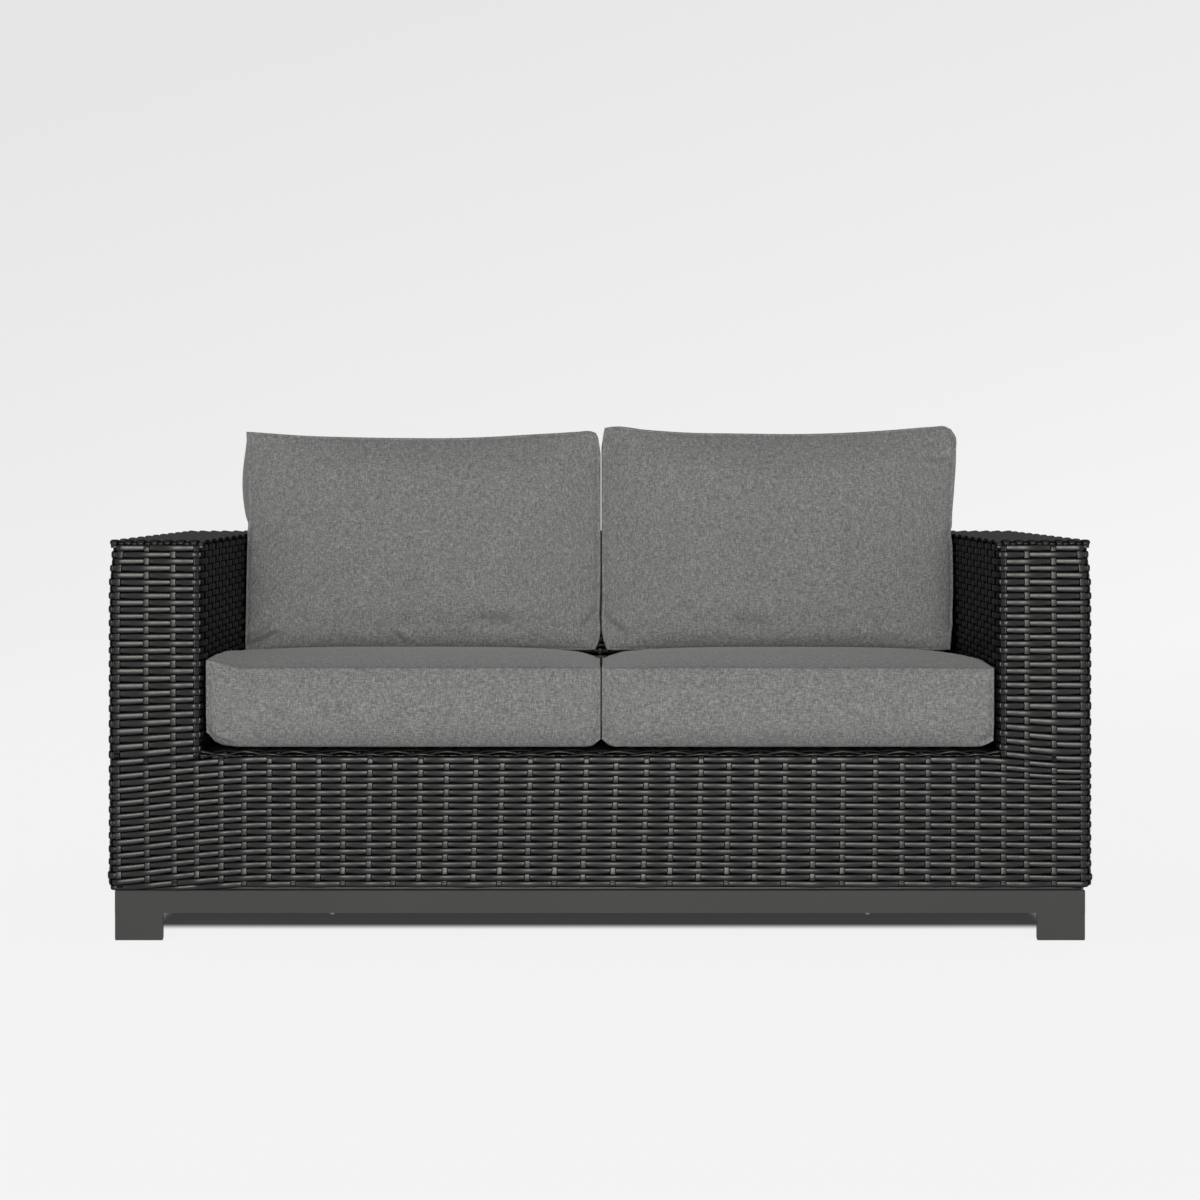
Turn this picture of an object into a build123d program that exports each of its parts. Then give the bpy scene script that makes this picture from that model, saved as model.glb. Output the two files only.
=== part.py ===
from build123d import *

import os
from math import cos, radians, sin

# A two-seat outdoor loveseat. A box-shaped body of woven resin strand is wrapped over a
# welded frame of square aluminium tube, which is bolted to a powder-coated plinth with four
# block feet. Two loose seat cushions lie on the woven deck, and two loose back cushions
# stand on them and lean on the back wall.
#
# Sizes are in millimetres. X runs along the seat, Y towards the back and Z up.
# The origin is on the floor, under the middle of the body.

# Woven body, measured over the crests of the strands
body_width = 1640
body_depth = 880
arm_height = 670
arm_width = 155
back_thickness = 155

# Woven skin: strands lie in rows round the body, and each row stands out as a rib
skin_thickness = 9
strand_relief = 2.5
rib_shoulder_share = 0.26
wall_row_count = 51
apron_row_count = 20
top_row_count = 14
deck_edge_radius = 5

# Plinth of rectangular tube on block feet
plinth_height = 84
plinth_inset = 6
rail_height = 38
rail_depth = 40
rail_wall = 2
rail_edge_radius = 1.5
foot_side = 80
foot_thickness = 12
foot_edge_radius = 1.5
weld_cove = 4
glide_thickness = 3
glide_inset = 0.5

# Square tube of the inner frame
tube_side = 25
tube_wall = 1.5
deck_bearer_count = 3

# Bolts that hold the body frame on the plinth, and the weld nuts that take them
bolt_radius = 3
bolt_head_across_flats = 10
bolt_head_height = 4
bolt_hole_clearance = 0.3
bolts_per_rail = 2
bolt_spacing = 900
nut_height = 5
nut_across_flats = 10
nut_clearance = 0.1
bolt_end = 2

# Cushions: a fabric cover with its wadding, round a foam slab or a fibre fill
cushion_gap = 2
cushion_side_gap = 1
cushion_shoulder = 8
least_bulge = 1
fill_clearance = 0.4

# Seat cushions
seat_lift = 0.3
seat_front_setback = 12
seat_rear_gap = 7
seat_seam_low = 24
seat_seam_high = 138
seat_crown = 17
seat_boxing_bulge = 6
seat_side_pull = 5
seat_heel = 38
seat_foam_inset = 14
seat_foam_floor = 26
seat_foam_top = 134

# Back cushions, whose rear face leans on the top edge of the back wall
back_lean = 8
back_front_height = 398
back_boxing = 150
back_front_crown = 36
back_rear_crown = 12
back_top_bulge = 4
back_top_dip = 12
back_end_crown = 7
back_wall_gap = 0.5
back_seat_gap = 0.4
back_fill_inset = 18

# Stations of the cushion sections, as shares of the half width
cushion_station_shares = (-1, -0.98, -0.92, -0.78, -0.45, 0, 0.45, 0.78, 0.92, 0.98, 1)

# One overrun serves every cut and trimming shape
overrun = 20

# Planes and heights that follow from the sizes above
half_width = body_width / 2
half_depth = body_depth / 2
opening_half = half_width - arm_width
wall_front = -half_depth
back_inner = half_depth - back_thickness
cap_underside = arm_height - skin_thickness
row_pitch = (cap_underside - plinth_height) / wall_row_count
deck_underside = plinth_height + apron_row_count * row_pitch
deck_top = deck_underside + skin_thickness
plinth_half_width = half_width - plinth_inset
plinth_half_depth = half_depth - plinth_inset
rail_underside = plinth_height - rail_height

UP = Vector(0, 0, 1)
LEFT, RIGHT = -1, 1
FRONT, REAR = -1, 1
quarter_turn = 90

os.makedirs("parts", exist_ok=True)


def save(name, *solids):
    """Writes one node, of one solid or of several that stay separate."""
    shape = solids[0] if len(solids) == 1 else Compound(children=list(solids))
    export_step(shape, f"parts/{name}.step")


def box(low, high):
    """A box between two opposite corners."""
    size = [b - a for a, b in zip(low, high)]
    centre = [(a + b) / 2 for a, b in zip(low, high)]
    return Pos(*centre) * Box(*size)


def plan_prism(points, low, high):
    """A prism over an outline in plan."""
    outline = Polygon(*points, align=None)
    return Pos(0, 0, low) * extrude(outline, high - low, dir=(0, 0, 1))


# The woven skin


def ribbed_slab(start, stack, out, span, rows, length):
    """A slab whose outer face has one rib for each row of strand, flat on its crest.

    start is a corner of its inner face. Rows follow each other along stack, ribs stand out
    along out, and the rows run along stack x out.
    """
    pitch = span / rows
    shoulder = rib_shoulder_share * pitch
    web = skin_thickness - strand_relief
    outline = [(span, web), (span, 0), (0, 0)]
    for row in range(rows):
        begin, end = row * pitch, (row + 1) * pitch
        outline += [(begin, web), (begin + shoulder, skin_thickness), (end - shoulder, skin_thickness)]
    plane = Plane(origin=start, x_dir=stack, z_dir=stack.cross(out))
    return extrude(plane * Polygon(*outline, align=None), length, dir=stack.cross(out))


def wall_panel(outer_a, outer_b, inner_a, inner_b, low, high, rows):
    """One upright face of the skin, mitred at both ends to meet its neighbours.

    outer_a to outer_b is the line of its crests in plan, and inner_a to inner_b its back.
    """
    along = (Vector(*outer_b) - Vector(*outer_a)).normalized()
    out = along.cross(UP)
    start = Vector(*inner_a) + UP * low
    start -= along * ((start - Vector(*outer_a)).dot(along) + overrun)
    length = (Vector(*outer_b) - Vector(*outer_a)).length + 2 * overrun
    slab = ribbed_slab(start, UP, out, high - low, rows, length)
    prism = plan_prism([outer_a, outer_b, inner_b, inner_a], low, high)
    return slab & prism


def skin_corners(offset):
    """The corners of the body wall in plan, set back from the crests by offset."""
    out_x, out_y = half_width - offset, half_depth - offset
    in_x, in_y = opening_half + offset, back_inner + offset
    return {
        "front_left": (-out_x, -out_y),
        "back_left": (-out_x, out_y),
        "back_right": (out_x, out_y),
        "front_right": (out_x, -out_y),
        "mouth_right": (in_x, -out_y),
        "nook_right": (in_x, in_y),
        "nook_left": (-in_x, in_y),
        "mouth_left": (-in_x, -out_y),
    }


crest_corner = skin_corners(0)
inner_corner = skin_corners(skin_thickness)


def panel(name, a, b, low, high, rows):
    save(
        name,
        wall_panel(crest_corner[a], crest_corner[b], inner_corner[a], inner_corner[b], low, high, rows),
    )


def woven_walls():
    """The outer faces, arm fronts and apron start at the plinth, and the inner faces at the deck."""
    upper_row_count = wall_row_count - apron_row_count
    whole = (plinth_height, cap_underside, wall_row_count)
    upper = (deck_underside, cap_underside, upper_row_count)
    lower = (plinth_height, deck_underside, apron_row_count)
    panel("arm_outer_weave_left", "back_left", "front_left", *whole)
    panel("arm_front_weave_left", "front_left", "mouth_left", *whole)
    panel("apron_weave", "mouth_left", "mouth_right", *lower)
    panel("arm_front_weave_right", "mouth_right", "front_right", *whole)
    panel("arm_outer_weave_right", "front_right", "back_right", *whole)
    panel("back_outer_weave", "back_right", "back_left", *whole)
    panel("arm_inner_weave_left", "mouth_left", "nook_left", *upper)
    panel("back_inner_weave", "nook_left", "nook_right", *upper)
    panel("arm_inner_weave_right", "nook_right", "mouth_right", *upper)


def woven_tops():
    """Caps on the arms, whose rows run from front to back, and on the back, whose rows run across."""
    for side, name in ((LEFT, "left"), (RIGHT, "right")):
        start_x = opening_half if side == RIGHT else -half_width
        cap = ribbed_slab(
            Vector(start_x, half_depth, cap_underside),
            Vector(1, 0, 0), UP, arm_width, top_row_count, body_depth,
        )
        save(f"arm_top_weave_{name}", cap)
    cap = ribbed_slab(
        Vector(-opening_half, back_inner, cap_underside),
        Vector(0, 1, 0), UP, back_thickness, top_row_count, 2 * opening_half,
    )
    save("back_top_weave", cap)


def woven_deck():
    """The flat deck under the seat cushions, rolled over the top of the apron at its front edge."""
    deck = box(
        (-opening_half, wall_front, deck_underside),
        (opening_half, back_inner, deck_top),
    )
    front_edge = deck.edges().filter_by(Axis.X).sort_by(Axis.Z)[-2:].sort_by(Axis.Y)[0]
    save("seat_deck_weave", fillet(front_edge, deck_edge_radius))


# The plinth


def rail(length, depth, height, wall):
    """A rectangular tube along X, rounded along its upper edges.

    The lower edges stay sharp, so that the feet are flush with it.
    """
    outer = Box(length, depth, height)
    outer = fillet(outer.edges().filter_by(Axis.X).sort_by(Axis.Z)[-2:], rail_edge_radius)
    return outer - Box(length + overrun, depth - 2 * wall, height - 2 * wall)


def bolt_places(y):
    first = -bolt_spacing * (bolts_per_rail - 1) / 2
    return [Vector(first + n * bolt_spacing, y, 0) for n in range(bolts_per_rail)]


frame_out_x = half_width - skin_thickness - tube_side / 2
frame_out_y = half_depth - skin_thickness - tube_side / 2


def bolt_hole(shape, places, low, high):
    """Drills the clearance holes of the bolts through a shape."""
    return drill(shape, places, bolt_radius + bolt_hole_clearance, low, high)


def drill(shape, places, radius, low, high):
    for place in places:
        tool = Cylinder(radius, high - low, align=(Align.CENTER, Align.CENTER, Align.MIN))
        shape -= Pos(place.X, place.Y, low) * tool
    return shape


def plinth():
    """Four mitred rails and a centre rail."""
    rail_z = plinth_height - rail_height / 2
    out_x, out_y = plinth_half_width, plinth_half_depth
    in_x, in_y = out_x - rail_depth, out_y - rail_depth
    for side, name in ((FRONT, "front"), (REAR, "rear")):
        long_rail = Pos(0, side * (out_y - rail_depth / 2), rail_z) * rail(
            2 * out_x, rail_depth, rail_height, rail_wall
        )
        mitre = [(-out_x, side * out_y), (out_x, side * out_y), (in_x, side * in_y), (-in_x, side * in_y)]
        long_rail &= plan_prism(mitre, rail_underside, plinth_height)
        long_rail = bolt_hole(long_rail, bolt_places(side * frame_out_y), rail_underside, plinth_height)
        save(f"plinth_{name}_rail", long_rail)
    for side, name in ((LEFT, "left"), (RIGHT, "right")):
        turned = Rot(0, 0, quarter_turn) * rail(2 * out_y, rail_depth, rail_height, rail_wall)
        short_rail = Pos(side * (out_x - rail_depth / 2), 0, rail_z) * turned
        mitre = [(side * out_x, -out_y), (side * out_x, out_y), (side * in_x, in_y), (side * in_x, -in_y)]
        save(f"plinth_{name}_rail", short_rail & plan_prism(mitre, rail_underside, plinth_height))
    centre = Rot(0, 0, quarter_turn) * rail(2 * in_y, rail_depth, rail_height, rail_wall)
    save("plinth_centre_rail", Pos(0, 0, rail_z) * centre)


def foot_outline(inset):
    """The L of a corner foot in plan, its outer corner at zero and its legs along X and Y."""
    near, far, wall = inset, foot_side - inset, foot_thickness - inset
    points = [(near, near), (far, near), (far, wall), (wall, wall), (wall, far), (near, far)]
    return Polygon(*points, align=None)


def weld_bead():
    """A coved weld in the corner below a rail, along the thickness of the foot."""
    square = Box(weld_cove, foot_thickness, weld_cove)
    hollow = Rot(quarter_turn, 0, 0) * Cylinder(weld_cove, foot_thickness + overrun)
    return square - Pos(weld_cove / 2, 0, -weld_cove / 2) * hollow


def corner_foot():
    """A foot of thick flat bar, welded under the rails of one corner of the plinth."""
    body = extrude(foot_outline(0), rail_underside - glide_thickness, dir=(0, 0, 1))
    body = Pos(0, 0, glide_thickness) * body
    outer_edge = body.edges().filter_by(Axis.Z).sort_by(Axis.X)[:2].sort_by(Axis.Y)[0]
    body = fillet(outer_edge, foot_edge_radius)
    end = foot_side + weld_cove / 2
    middle = foot_thickness / 2
    bead_z = rail_underside - weld_cove / 2
    body += Pos(end, middle, bead_z) * weld_bead()
    body += Pos(middle, end, bead_z) * (Rot(0, 0, quarter_turn) * weld_bead())
    return body


def corner_glide():
    """A moulded strip stuck under the foot, a little inside its outline."""
    return extrude(foot_outline(glide_inset), glide_thickness, dir=(0, 0, 1))


def feet():
    """The same foot and glide are turned to each corner of the plinth."""
    corners = {
        "front_left": (LEFT, FRONT),
        "front_right": (RIGHT, FRONT),
        "rear_right": (RIGHT, REAR),
        "rear_left": (LEFT, REAR),
    }
    for quarter, (name, (side_x, side_y)) in enumerate(corners.items()):
        corner = Pos(side_x * plinth_half_width, side_y * plinth_half_depth, 0)
        place = corner * Rot(0, 0, quarter_turn * quarter)
        save(f"foot_{name}", place * corner_foot())
        save(f"glide_{name}", place * corner_glide())


def hexagon(across_flats, low, high):
    """A hexagonal prism on the Z axis."""
    outline = RegularPolygon(across_flats / 2, 6, major_radius=False)
    return Pos(0, 0, low) * extrude(outline, high - low, dir=(0, 0, 1))


def bolts():
    """Hex bolts from below, each in a nut that is welded inside the lowest tube of the frame."""
    nut_base = plinth_height + tube_wall
    nut_top = nut_base + nut_height
    tip = nut_top + bolt_end
    upright = (Align.CENTER, Align.CENTER, Align.MIN)
    all_bolts, all_nuts = [], []
    for place in bolt_places(-frame_out_y) + bolt_places(frame_out_y):
        here = Pos(place.X, place.Y, 0)
        head = hexagon(bolt_head_across_flats, rail_underside - bolt_head_height, rail_underside)
        shank = Pos(0, 0, rail_underside) * Cylinder(bolt_radius, tip - rail_underside, align=upright)
        all_bolts.append(here * (head + shank))
        nut = hexagon(nut_across_flats, nut_base, nut_top)
        all_nuts.append(here * drill(nut, [Vector(0, 0, 0)], bolt_radius + nut_clearance, nut_base, nut_top))
    save("frame_bolts", *all_bolts)
    save("weld_nuts", *all_nuts)


# The inner frame of square tube


def tube(start, end):
    """A square tube between two points on its axis, which lies along X, Y or Z."""
    start, end = Vector(*start), Vector(*end)
    length = (end - start).length
    bore = tube_side - 2 * tube_wall
    upright = Box(tube_side, tube_side, length) - Box(bore, bore, length + overrun)
    plane = Plane(origin=(start + end) / 2, z_dir=(end - start).normalized())
    return plane * upright


half_tube = tube_side / 2
frame_in_x = opening_half + skin_thickness + half_tube
frame_in_y = back_inner + skin_thickness + half_tube
bottom_z = plinth_height + half_tube
top_z = cap_underside - half_tube
seat_z = deck_underside - half_tube
mid_arm_y = (frame_in_y - frame_out_y) / 2


def bottom_tubes():
    """The lowest tubes lie on the plinth, and the front and rear ones hold the weld nuts."""
    end_x = frame_out_x + half_tube
    end_y = frame_out_y - half_tube
    for side, name in ((FRONT, "front"), (REAR, "rear")):
        y = side * frame_out_y
        long_tube = tube((-end_x, y, bottom_z), (end_x, y, bottom_z))
        lower_wall = (plinth_height, plinth_height + tube_wall)
        save(f"frame_bottom_{name}_tube", bolt_hole(long_tube, bolt_places(y), *lower_wall))
    for side, name in ((LEFT, "left"), (RIGHT, "right")):
        pair = [
            tube((side * x, -end_y, bottom_z), (side * x, end_y, bottom_z))
            for x in (frame_out_x, frame_in_x)
        ]
        save(f"frame_bottom_{name}_tubes", *pair)
    reach = frame_in_x - half_tube
    save("frame_bottom_inner_tube", tube((-reach, frame_in_y, bottom_z), (reach, frame_in_y, bottom_z)))


def posts():
    """Upright tubes between the lowest and the highest ones, three in each face of an arm."""
    low, high = bottom_z + half_tube, top_z - half_tube
    outer_row = [(frame_out_x, y) for y in (-frame_out_y, mid_arm_y, frame_out_y)]
    inner_row = [(frame_in_x, y) for y in (-frame_out_y, mid_arm_y, frame_in_y)]
    for side, name in ((LEFT, "left"), (RIGHT, "right")):
        uprights = [tube((side * x, y, low), (side * x, y, high)) for x, y in outer_row + inner_row]
        save(f"arm_posts_{name}", *uprights)
    places = [(0, frame_out_y), (0, frame_in_y)]
    save("back_posts", *[tube((x, y, low), (x, y, high)) for x, y in places])


def top_tubes():
    """The arm tubes run from front to back, with short cross tubes, and the back tubes lie between them."""
    end_y = frame_out_y + half_tube
    for side, name in ((LEFT, "left"), (RIGHT, "right")):
        long_pair = [
            tube((side * x, -end_y, top_z), (side * x, end_y, top_z))
            for x in (frame_out_x, frame_in_x)
        ]
        save(f"arm_top_tubes_{name}", *long_pair)
        inner, outer = frame_in_x + half_tube, frame_out_x - half_tube
        crosses = [
            tube((side * inner, y, top_z), (side * outer, y, top_z))
            for y in (-frame_out_y, mid_arm_y, frame_out_y)
        ]
        save(f"arm_cross_tubes_{name}", *crosses)
    reach = frame_in_x - half_tube
    pair = [tube((-reach, y, top_z), (reach, y, top_z)) for y in (frame_in_y, frame_out_y)]
    save("back_top_tubes", *pair)


def seat_tubes():
    """The frame of the deck: side tubes on the inner posts, and tubes across between them."""
    side_x = frame_in_x - tube_side
    reach = side_x - half_tube
    rear_y = back_inner - half_tube
    begin, end = -frame_out_y - half_tube, frame_in_y + half_tube
    sides = [tube((side * side_x, begin, seat_z), (side * side_x, end, seat_z)) for side in (LEFT, RIGHT)]
    save("seat_side_tubes", *sides)
    save("seat_front_tube", tube((-reach, -frame_out_y, seat_z), (reach, -frame_out_y, seat_z)))
    save("seat_rear_tube", tube((-reach, rear_y, seat_z), (reach, rear_y, seat_z)))
    spacing = 2 * reach / (deck_bearer_count + 1)
    begin, end = -frame_out_y + half_tube, rear_y - half_tube
    places = [-reach + n * spacing for n in range(1, deck_bearer_count + 1)]
    save("deck_bearers", *[tube((x, begin, seat_z), (x, end, seat_z)) for x in places])


# The cushions


def bulged(a, b, bulge):
    """An arc from a to b that stands out by bulge on the left of the way from a to b."""
    way = (b - a).normalized()
    return ThreePointArc(a, (a + b) / 2 + Vector(-way.Y, way.X) * bulge, b)


def section_face(edges, x):
    """A section drawn in depth and height, stood up in the plane at x."""
    plane = Plane(origin=(x, 0, 0), x_dir=(0, 1, 0), z_dir=(1, 0, 0))
    return plane * make_face(edges)


def fullness(share):
    """How much of its bulge a cushion has at a station: all in the middle and none at the ends."""
    return (1 - share**4) ** (1 / 3)


def swell(ends, middle, share):
    """A bulge that grows from its size at the ends to its size in the middle."""
    return ends + (middle - ends) * fullness(share)


cushion_width = opening_half - cushion_side_gap - cushion_gap / 2
cushion_half = cushion_width / 2
seat_floor = deck_top + seat_lift
seat_front = wall_front + seat_front_setback
seat_rear = back_inner - seat_rear_gap


def seat_form():
    """A boxed seat cushion, crowned on top, drawn in along its front and rounded at its corners."""
    sections = []
    low, high = seat_floor + seat_seam_low, seat_floor + seat_seam_high
    for share in cushion_station_shares:
        inset = seat_side_pull * (1 - share**2) + cushion_shoulder * (1 - fullness(share))
        front, rear = seat_front + inset, seat_rear - inset
        crown = swell(least_bulge, seat_crown, share)
        boxing = swell(least_bulge, seat_boxing_bulge, share)
        sole_front, sole_rear = Vector(front + seat_heel, seat_floor), Vector(rear - seat_heel, seat_floor)
        front_low, front_high = Vector(front, low), Vector(front, high)
        rear_low, rear_high = Vector(rear, low), Vector(rear, high)
        edges = [
            Line(sole_rear, sole_front),
            Line(sole_front, front_low),
            bulged(front_low, front_high, boxing),
            bulged(front_high, rear_high, crown),
            bulged(rear_high, rear_low, boxing),
            Line(rear_low, sole_rear),
        ]
        sections.append(section_face(edges, share * cushion_half))
    return loft(sections, ruled=True)


def seat_cushions():
    """Each cover is hollow, and its foam slab fills the hollow."""
    inset, play = seat_foam_inset, fill_clearance
    low = Vector(-cushion_half + inset, seat_front + seat_side_pull + inset, seat_floor + seat_foam_floor)
    high = Vector(cushion_half - inset, seat_rear - seat_side_pull - inset, seat_floor + seat_foam_top)
    slack = Vector(play, play, play)
    cover = seat_form() - box(low, high)
    foam = box(low + slack, high - slack)
    for side, name in ((LEFT, "left"), (RIGHT, "right")):
        place = Pos(side * (cushion_gap / 2 + cushion_half), 0, 0)
        save(f"seat_cover_{name}", place * cover)
        save(f"seat_foam_{name}", place * foam)


def seat_top_at(y):
    """The height of the seat's crown at a depth, in the middle of a cushion."""
    front, rear = seat_front + seat_side_pull, seat_rear - seat_side_pull
    half_chord = (rear - front) / 2
    radius = (half_chord**2 + seat_crown**2) / (2 * seat_crown)
    off = y - (front + rear) / 2
    return seat_floor + seat_seam_high + seat_crown - radius + (radius**2 - off**2) ** 0.5


lean_cos, lean_sin = cos(radians(back_lean)), sin(radians(back_lean))


def heel_at(height):
    """The depth of the rear seam at a height, for a rear crown that leans on the wall's top edge."""
    reach = back_rear_crown + back_wall_gap + (arm_height - height) * lean_sin
    return back_inner - reach / lean_cos


# The rear seam starts on the seat, whose own height there follows from a first estimate
heel_y = heel_at(seat_top_at(heel_at(seat_floor + seat_seam_high)) + back_seat_gap)
toe_y = heel_y - back_boxing * lean_cos


# The sole is straight, so it clears the crown of the seat at their nearest by the gap
heel_z, toe_z = [seat_top_at(y) + back_seat_gap for y in (heel_y, toe_y)]
sole_rise = seat_top_at((heel_y + toe_y) / 2) + back_seat_gap - (heel_z + toe_z) / 2
heel_z, toe_z = heel_z + sole_rise, toe_z + sole_rise


def leaning(depth, rise):
    """A point of the back cushion in world depth and height, from its own axes at the heel."""
    return Vector(heel_y - depth * lean_cos + rise * lean_sin, heel_z + depth * lean_sin + rise * lean_cos)


def back_form():
    """A boxed back cushion whose sole lies on the crown of the seat cushion."""
    heel, toe = leaning(0, 0), Vector(toe_y, toe_z)
    # The toe lies forward of the heel by the boxing, and lower along the lean
    toe_rise = (toe.Y - heel.Y - back_boxing * lean_sin) / lean_cos
    sections = []
    for share in cushion_station_shares:
        top = toe_rise + back_front_height - back_top_dip * fullness(share)
        front_top, rear_top = leaning(back_boxing, top), leaning(0, top)
        edges = [
            Line(heel, toe),
            bulged(toe, front_top, swell(back_end_crown, back_front_crown, share)),
            bulged(front_top, rear_top, swell(least_bulge, back_top_bulge, share)),
            bulged(rear_top, heel, swell(least_bulge, back_rear_crown, share)),
        ]
        sections.append(section_face(edges, share * cushion_half))
    return loft(sections, ruled=True)


def back_cushions():
    """Each cover is hollow, and its fibre fill has the shape of the hollow."""
    inset, play = back_fill_inset, fill_clearance
    low = Vector(-cushion_half + inset, -back_boxing + inset, inset)
    high = Vector(cushion_half - inset, -inset, back_front_height - back_boxing * lean_sin - 2 * inset)
    slack = Vector(play, play, play)
    tilt = Pos(0, heel_y, heel_z) * Rot(-back_lean, 0, 0)
    cover = back_form() - tilt * box(low, high)
    fill = tilt * box(low + slack, high - slack)
    for side, name in ((LEFT, "left"), (RIGHT, "right")):
        place = Pos(side * (cushion_gap / 2 + cushion_half), 0, 0)
        save(f"back_cover_{name}", place * cover)
        save(f"back_fill_{name}", place * fill)


woven_walls()
woven_tops()
woven_deck()
plinth()
feet()
bolts()
bottom_tubes()
posts()
top_tubes()
seat_tubes()
seat_cushions()
back_cushions()
print("deck top", round(deck_top, 2), "row pitch", round(row_pitch, 3))
print("heel and toe of the back cushions", round(heel_y, 1), round(toe_y, 1))
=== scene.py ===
# %% [markdown]
# # A woven patio loveseat
# This lesson dresses a patio loveseat: a box of woven resin strand on a metal plinth, with four
# loose cushions. The plain solids come first, as a fixed frame in metres. Every visible surface is
# then made as the real one is: strands that really cross each other, and cushions that are filled
# from inside.

import itertools
import math

import bpy
import numpy as np
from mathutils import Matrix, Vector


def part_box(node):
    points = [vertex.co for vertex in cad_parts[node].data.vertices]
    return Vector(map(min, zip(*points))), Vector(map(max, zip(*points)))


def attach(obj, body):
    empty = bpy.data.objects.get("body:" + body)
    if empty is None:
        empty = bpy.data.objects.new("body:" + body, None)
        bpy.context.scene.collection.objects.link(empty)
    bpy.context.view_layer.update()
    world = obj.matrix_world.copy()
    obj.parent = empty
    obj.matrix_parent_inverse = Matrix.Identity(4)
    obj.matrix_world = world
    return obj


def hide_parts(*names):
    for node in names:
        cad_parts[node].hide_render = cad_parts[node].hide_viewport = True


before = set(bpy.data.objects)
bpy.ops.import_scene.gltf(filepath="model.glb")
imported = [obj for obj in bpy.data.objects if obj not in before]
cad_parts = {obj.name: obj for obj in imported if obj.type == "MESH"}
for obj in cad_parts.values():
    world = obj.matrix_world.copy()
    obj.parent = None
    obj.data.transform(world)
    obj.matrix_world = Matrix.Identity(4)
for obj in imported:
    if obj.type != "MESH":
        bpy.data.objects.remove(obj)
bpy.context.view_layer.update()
mm = 0.001

# %% [markdown]
# ## The sizes that everything follows
# The woven body is a box with a plan like a U: two arms and a back at one height, and a low apron
# between the arms. The sizes are read from the solids, so the strands lie where the solids are.

# %% Read the body's planes
skin_low, skin_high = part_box("back_outer_weave")
side_x, back_y = skin_high.x, skin_high.y
front_y = -back_y
arm_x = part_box("arm_inner_weave_right")[0].x
inner_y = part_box("back_inner_weave")[0].y
base_z = skin_low.z
cap_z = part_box("arm_top_weave_left")[1].z + 2.5 * mm
deck_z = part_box("seat_deck_weave")[1].z
print("side", side_x, "front", front_y, "arm", arm_x, "deck", deck_z, "top", cap_z)

# %% [markdown]
# ## The strand
# Outdoor strand is extruded resin, half round: flat on the back and domed on the front. One ring
# of nine points is that section. It is swept along a path, and each ring turns with the wall it
# lies on. Sweeping with arrays is much quicker than one curve object for each strand, and a wall
# of strands stays one mesh.

# %% Set the strand's section and the crimp
weaver_thick = 3.8 * mm
stake_thick = 3.0 * mm
weaver_crimp = 2.4 * mm
stake_crimp = 0.5 * mm
stake_half = 5.2 * mm
weave_half = weaver_crimp + weaver_thick / 2


def half_round(dome):
    """A section from one edge over the dome to the other, closed by the middle of its flat back."""
    return np.array(dome + [(-across, rise) for across, rise in dome[::-1]] + [(0, 0)])


strand_ring = half_round([(1, 0.1), (0.94, 0.46), (0.76, 0.84), (0.36, 0.985)])
stake_ring = half_round([(1, 0.1), (0.97, 0.74), (0.87, 0.94), (0.6, 0.995)])
ring_size = len(strand_ring)
print("points in a section", ring_size, "weave thickness", round(weave_half * 2 / mm, 1), "mm")


# %% Sweep a strand and collect the strands of one wall
def sweep_strand(points, outward, across, half_width, thickness, ring=strand_ring):
    """Rings of a half-round strand, one ring for each point of its middle line."""
    side = across[:, None, :] * (ring[:, 0][None, :, None] * half_width[:, None, None])
    rise = outward[:, None, :] * ((ring[:, 1][None, :, None] - 0.5) * thickness)
    return points[:, None, :] + side + rise


walls = {}
rng = np.random.default_rng(7)


def lay_strand(wall, rings, run):
    """Keeps one strand for a wall, with its run in metres and a tone of its own."""
    walls.setdefault(wall, []).append((rings, run, rng.random()))


def weave_mesh(name, strands):
    """One mesh from all the strands of a wall, with open ends closed."""
    places, quads, ends, runs, sides, tones = [], [], [], [], [], []
    first = 0
    ring_next = np.roll(np.arange(ring_size), -1)
    for rings, run, tone in strands:
        count = len(rings)
        places.append(rings.reshape(-1, 3))
        start = first + np.arange(count - 1)[:, None] * ring_size
        near, near_next = start + np.arange(ring_size)[None, :], start + ring_next
        quads.append(np.stack([near, near_next, near_next + ring_size, near + ring_size], -1))
        last = first + (count - 1) * ring_size
        ends.append(np.arange(first, first + ring_size)[::-1])
        ends.append(np.arange(last, last + ring_size))
        runs.append(np.repeat(run, ring_size))
        sides.append(np.tile(strand_ring[:, 0], count))
        tones.append(np.full(count * ring_size, tone))
        first += count * ring_size
    quads = np.concatenate([q.reshape(-1, 4) for q in quads])[:, ::-1]
    ends = np.concatenate(ends)
    mesh = bpy.data.meshes.new(name)
    mesh.vertices.add(first)
    mesh.vertices.foreach_set("co", np.concatenate(places).astype(np.float32).ravel())
    end_count = len(ends) // ring_size
    mesh.loops.add(quads.size + len(ends))
    mesh.loops.foreach_set("vertex_index", np.concatenate([quads.ravel(), ends]).astype(np.int32))
    mesh.polygons.add(len(quads) + end_count)
    starts = np.concatenate([np.arange(len(quads)) * 4, quads.size + np.arange(end_count) * ring_size])
    mesh.polygons.foreach_set("loop_start", starts.astype(np.int32))
    mesh.update(calc_edges=True)
    for label, values in (("strand_run", runs), ("strand_side", sides), ("strand_tone", tones)):
        layer = mesh.attributes.new(label, "FLOAT", "POINT")
        layer.data.foreach_set("value", np.concatenate(values).astype(np.float32))
    mesh.polygons.foreach_set("use_smooth", np.ones(len(mesh.polygons), bool))
    return mesh


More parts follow.
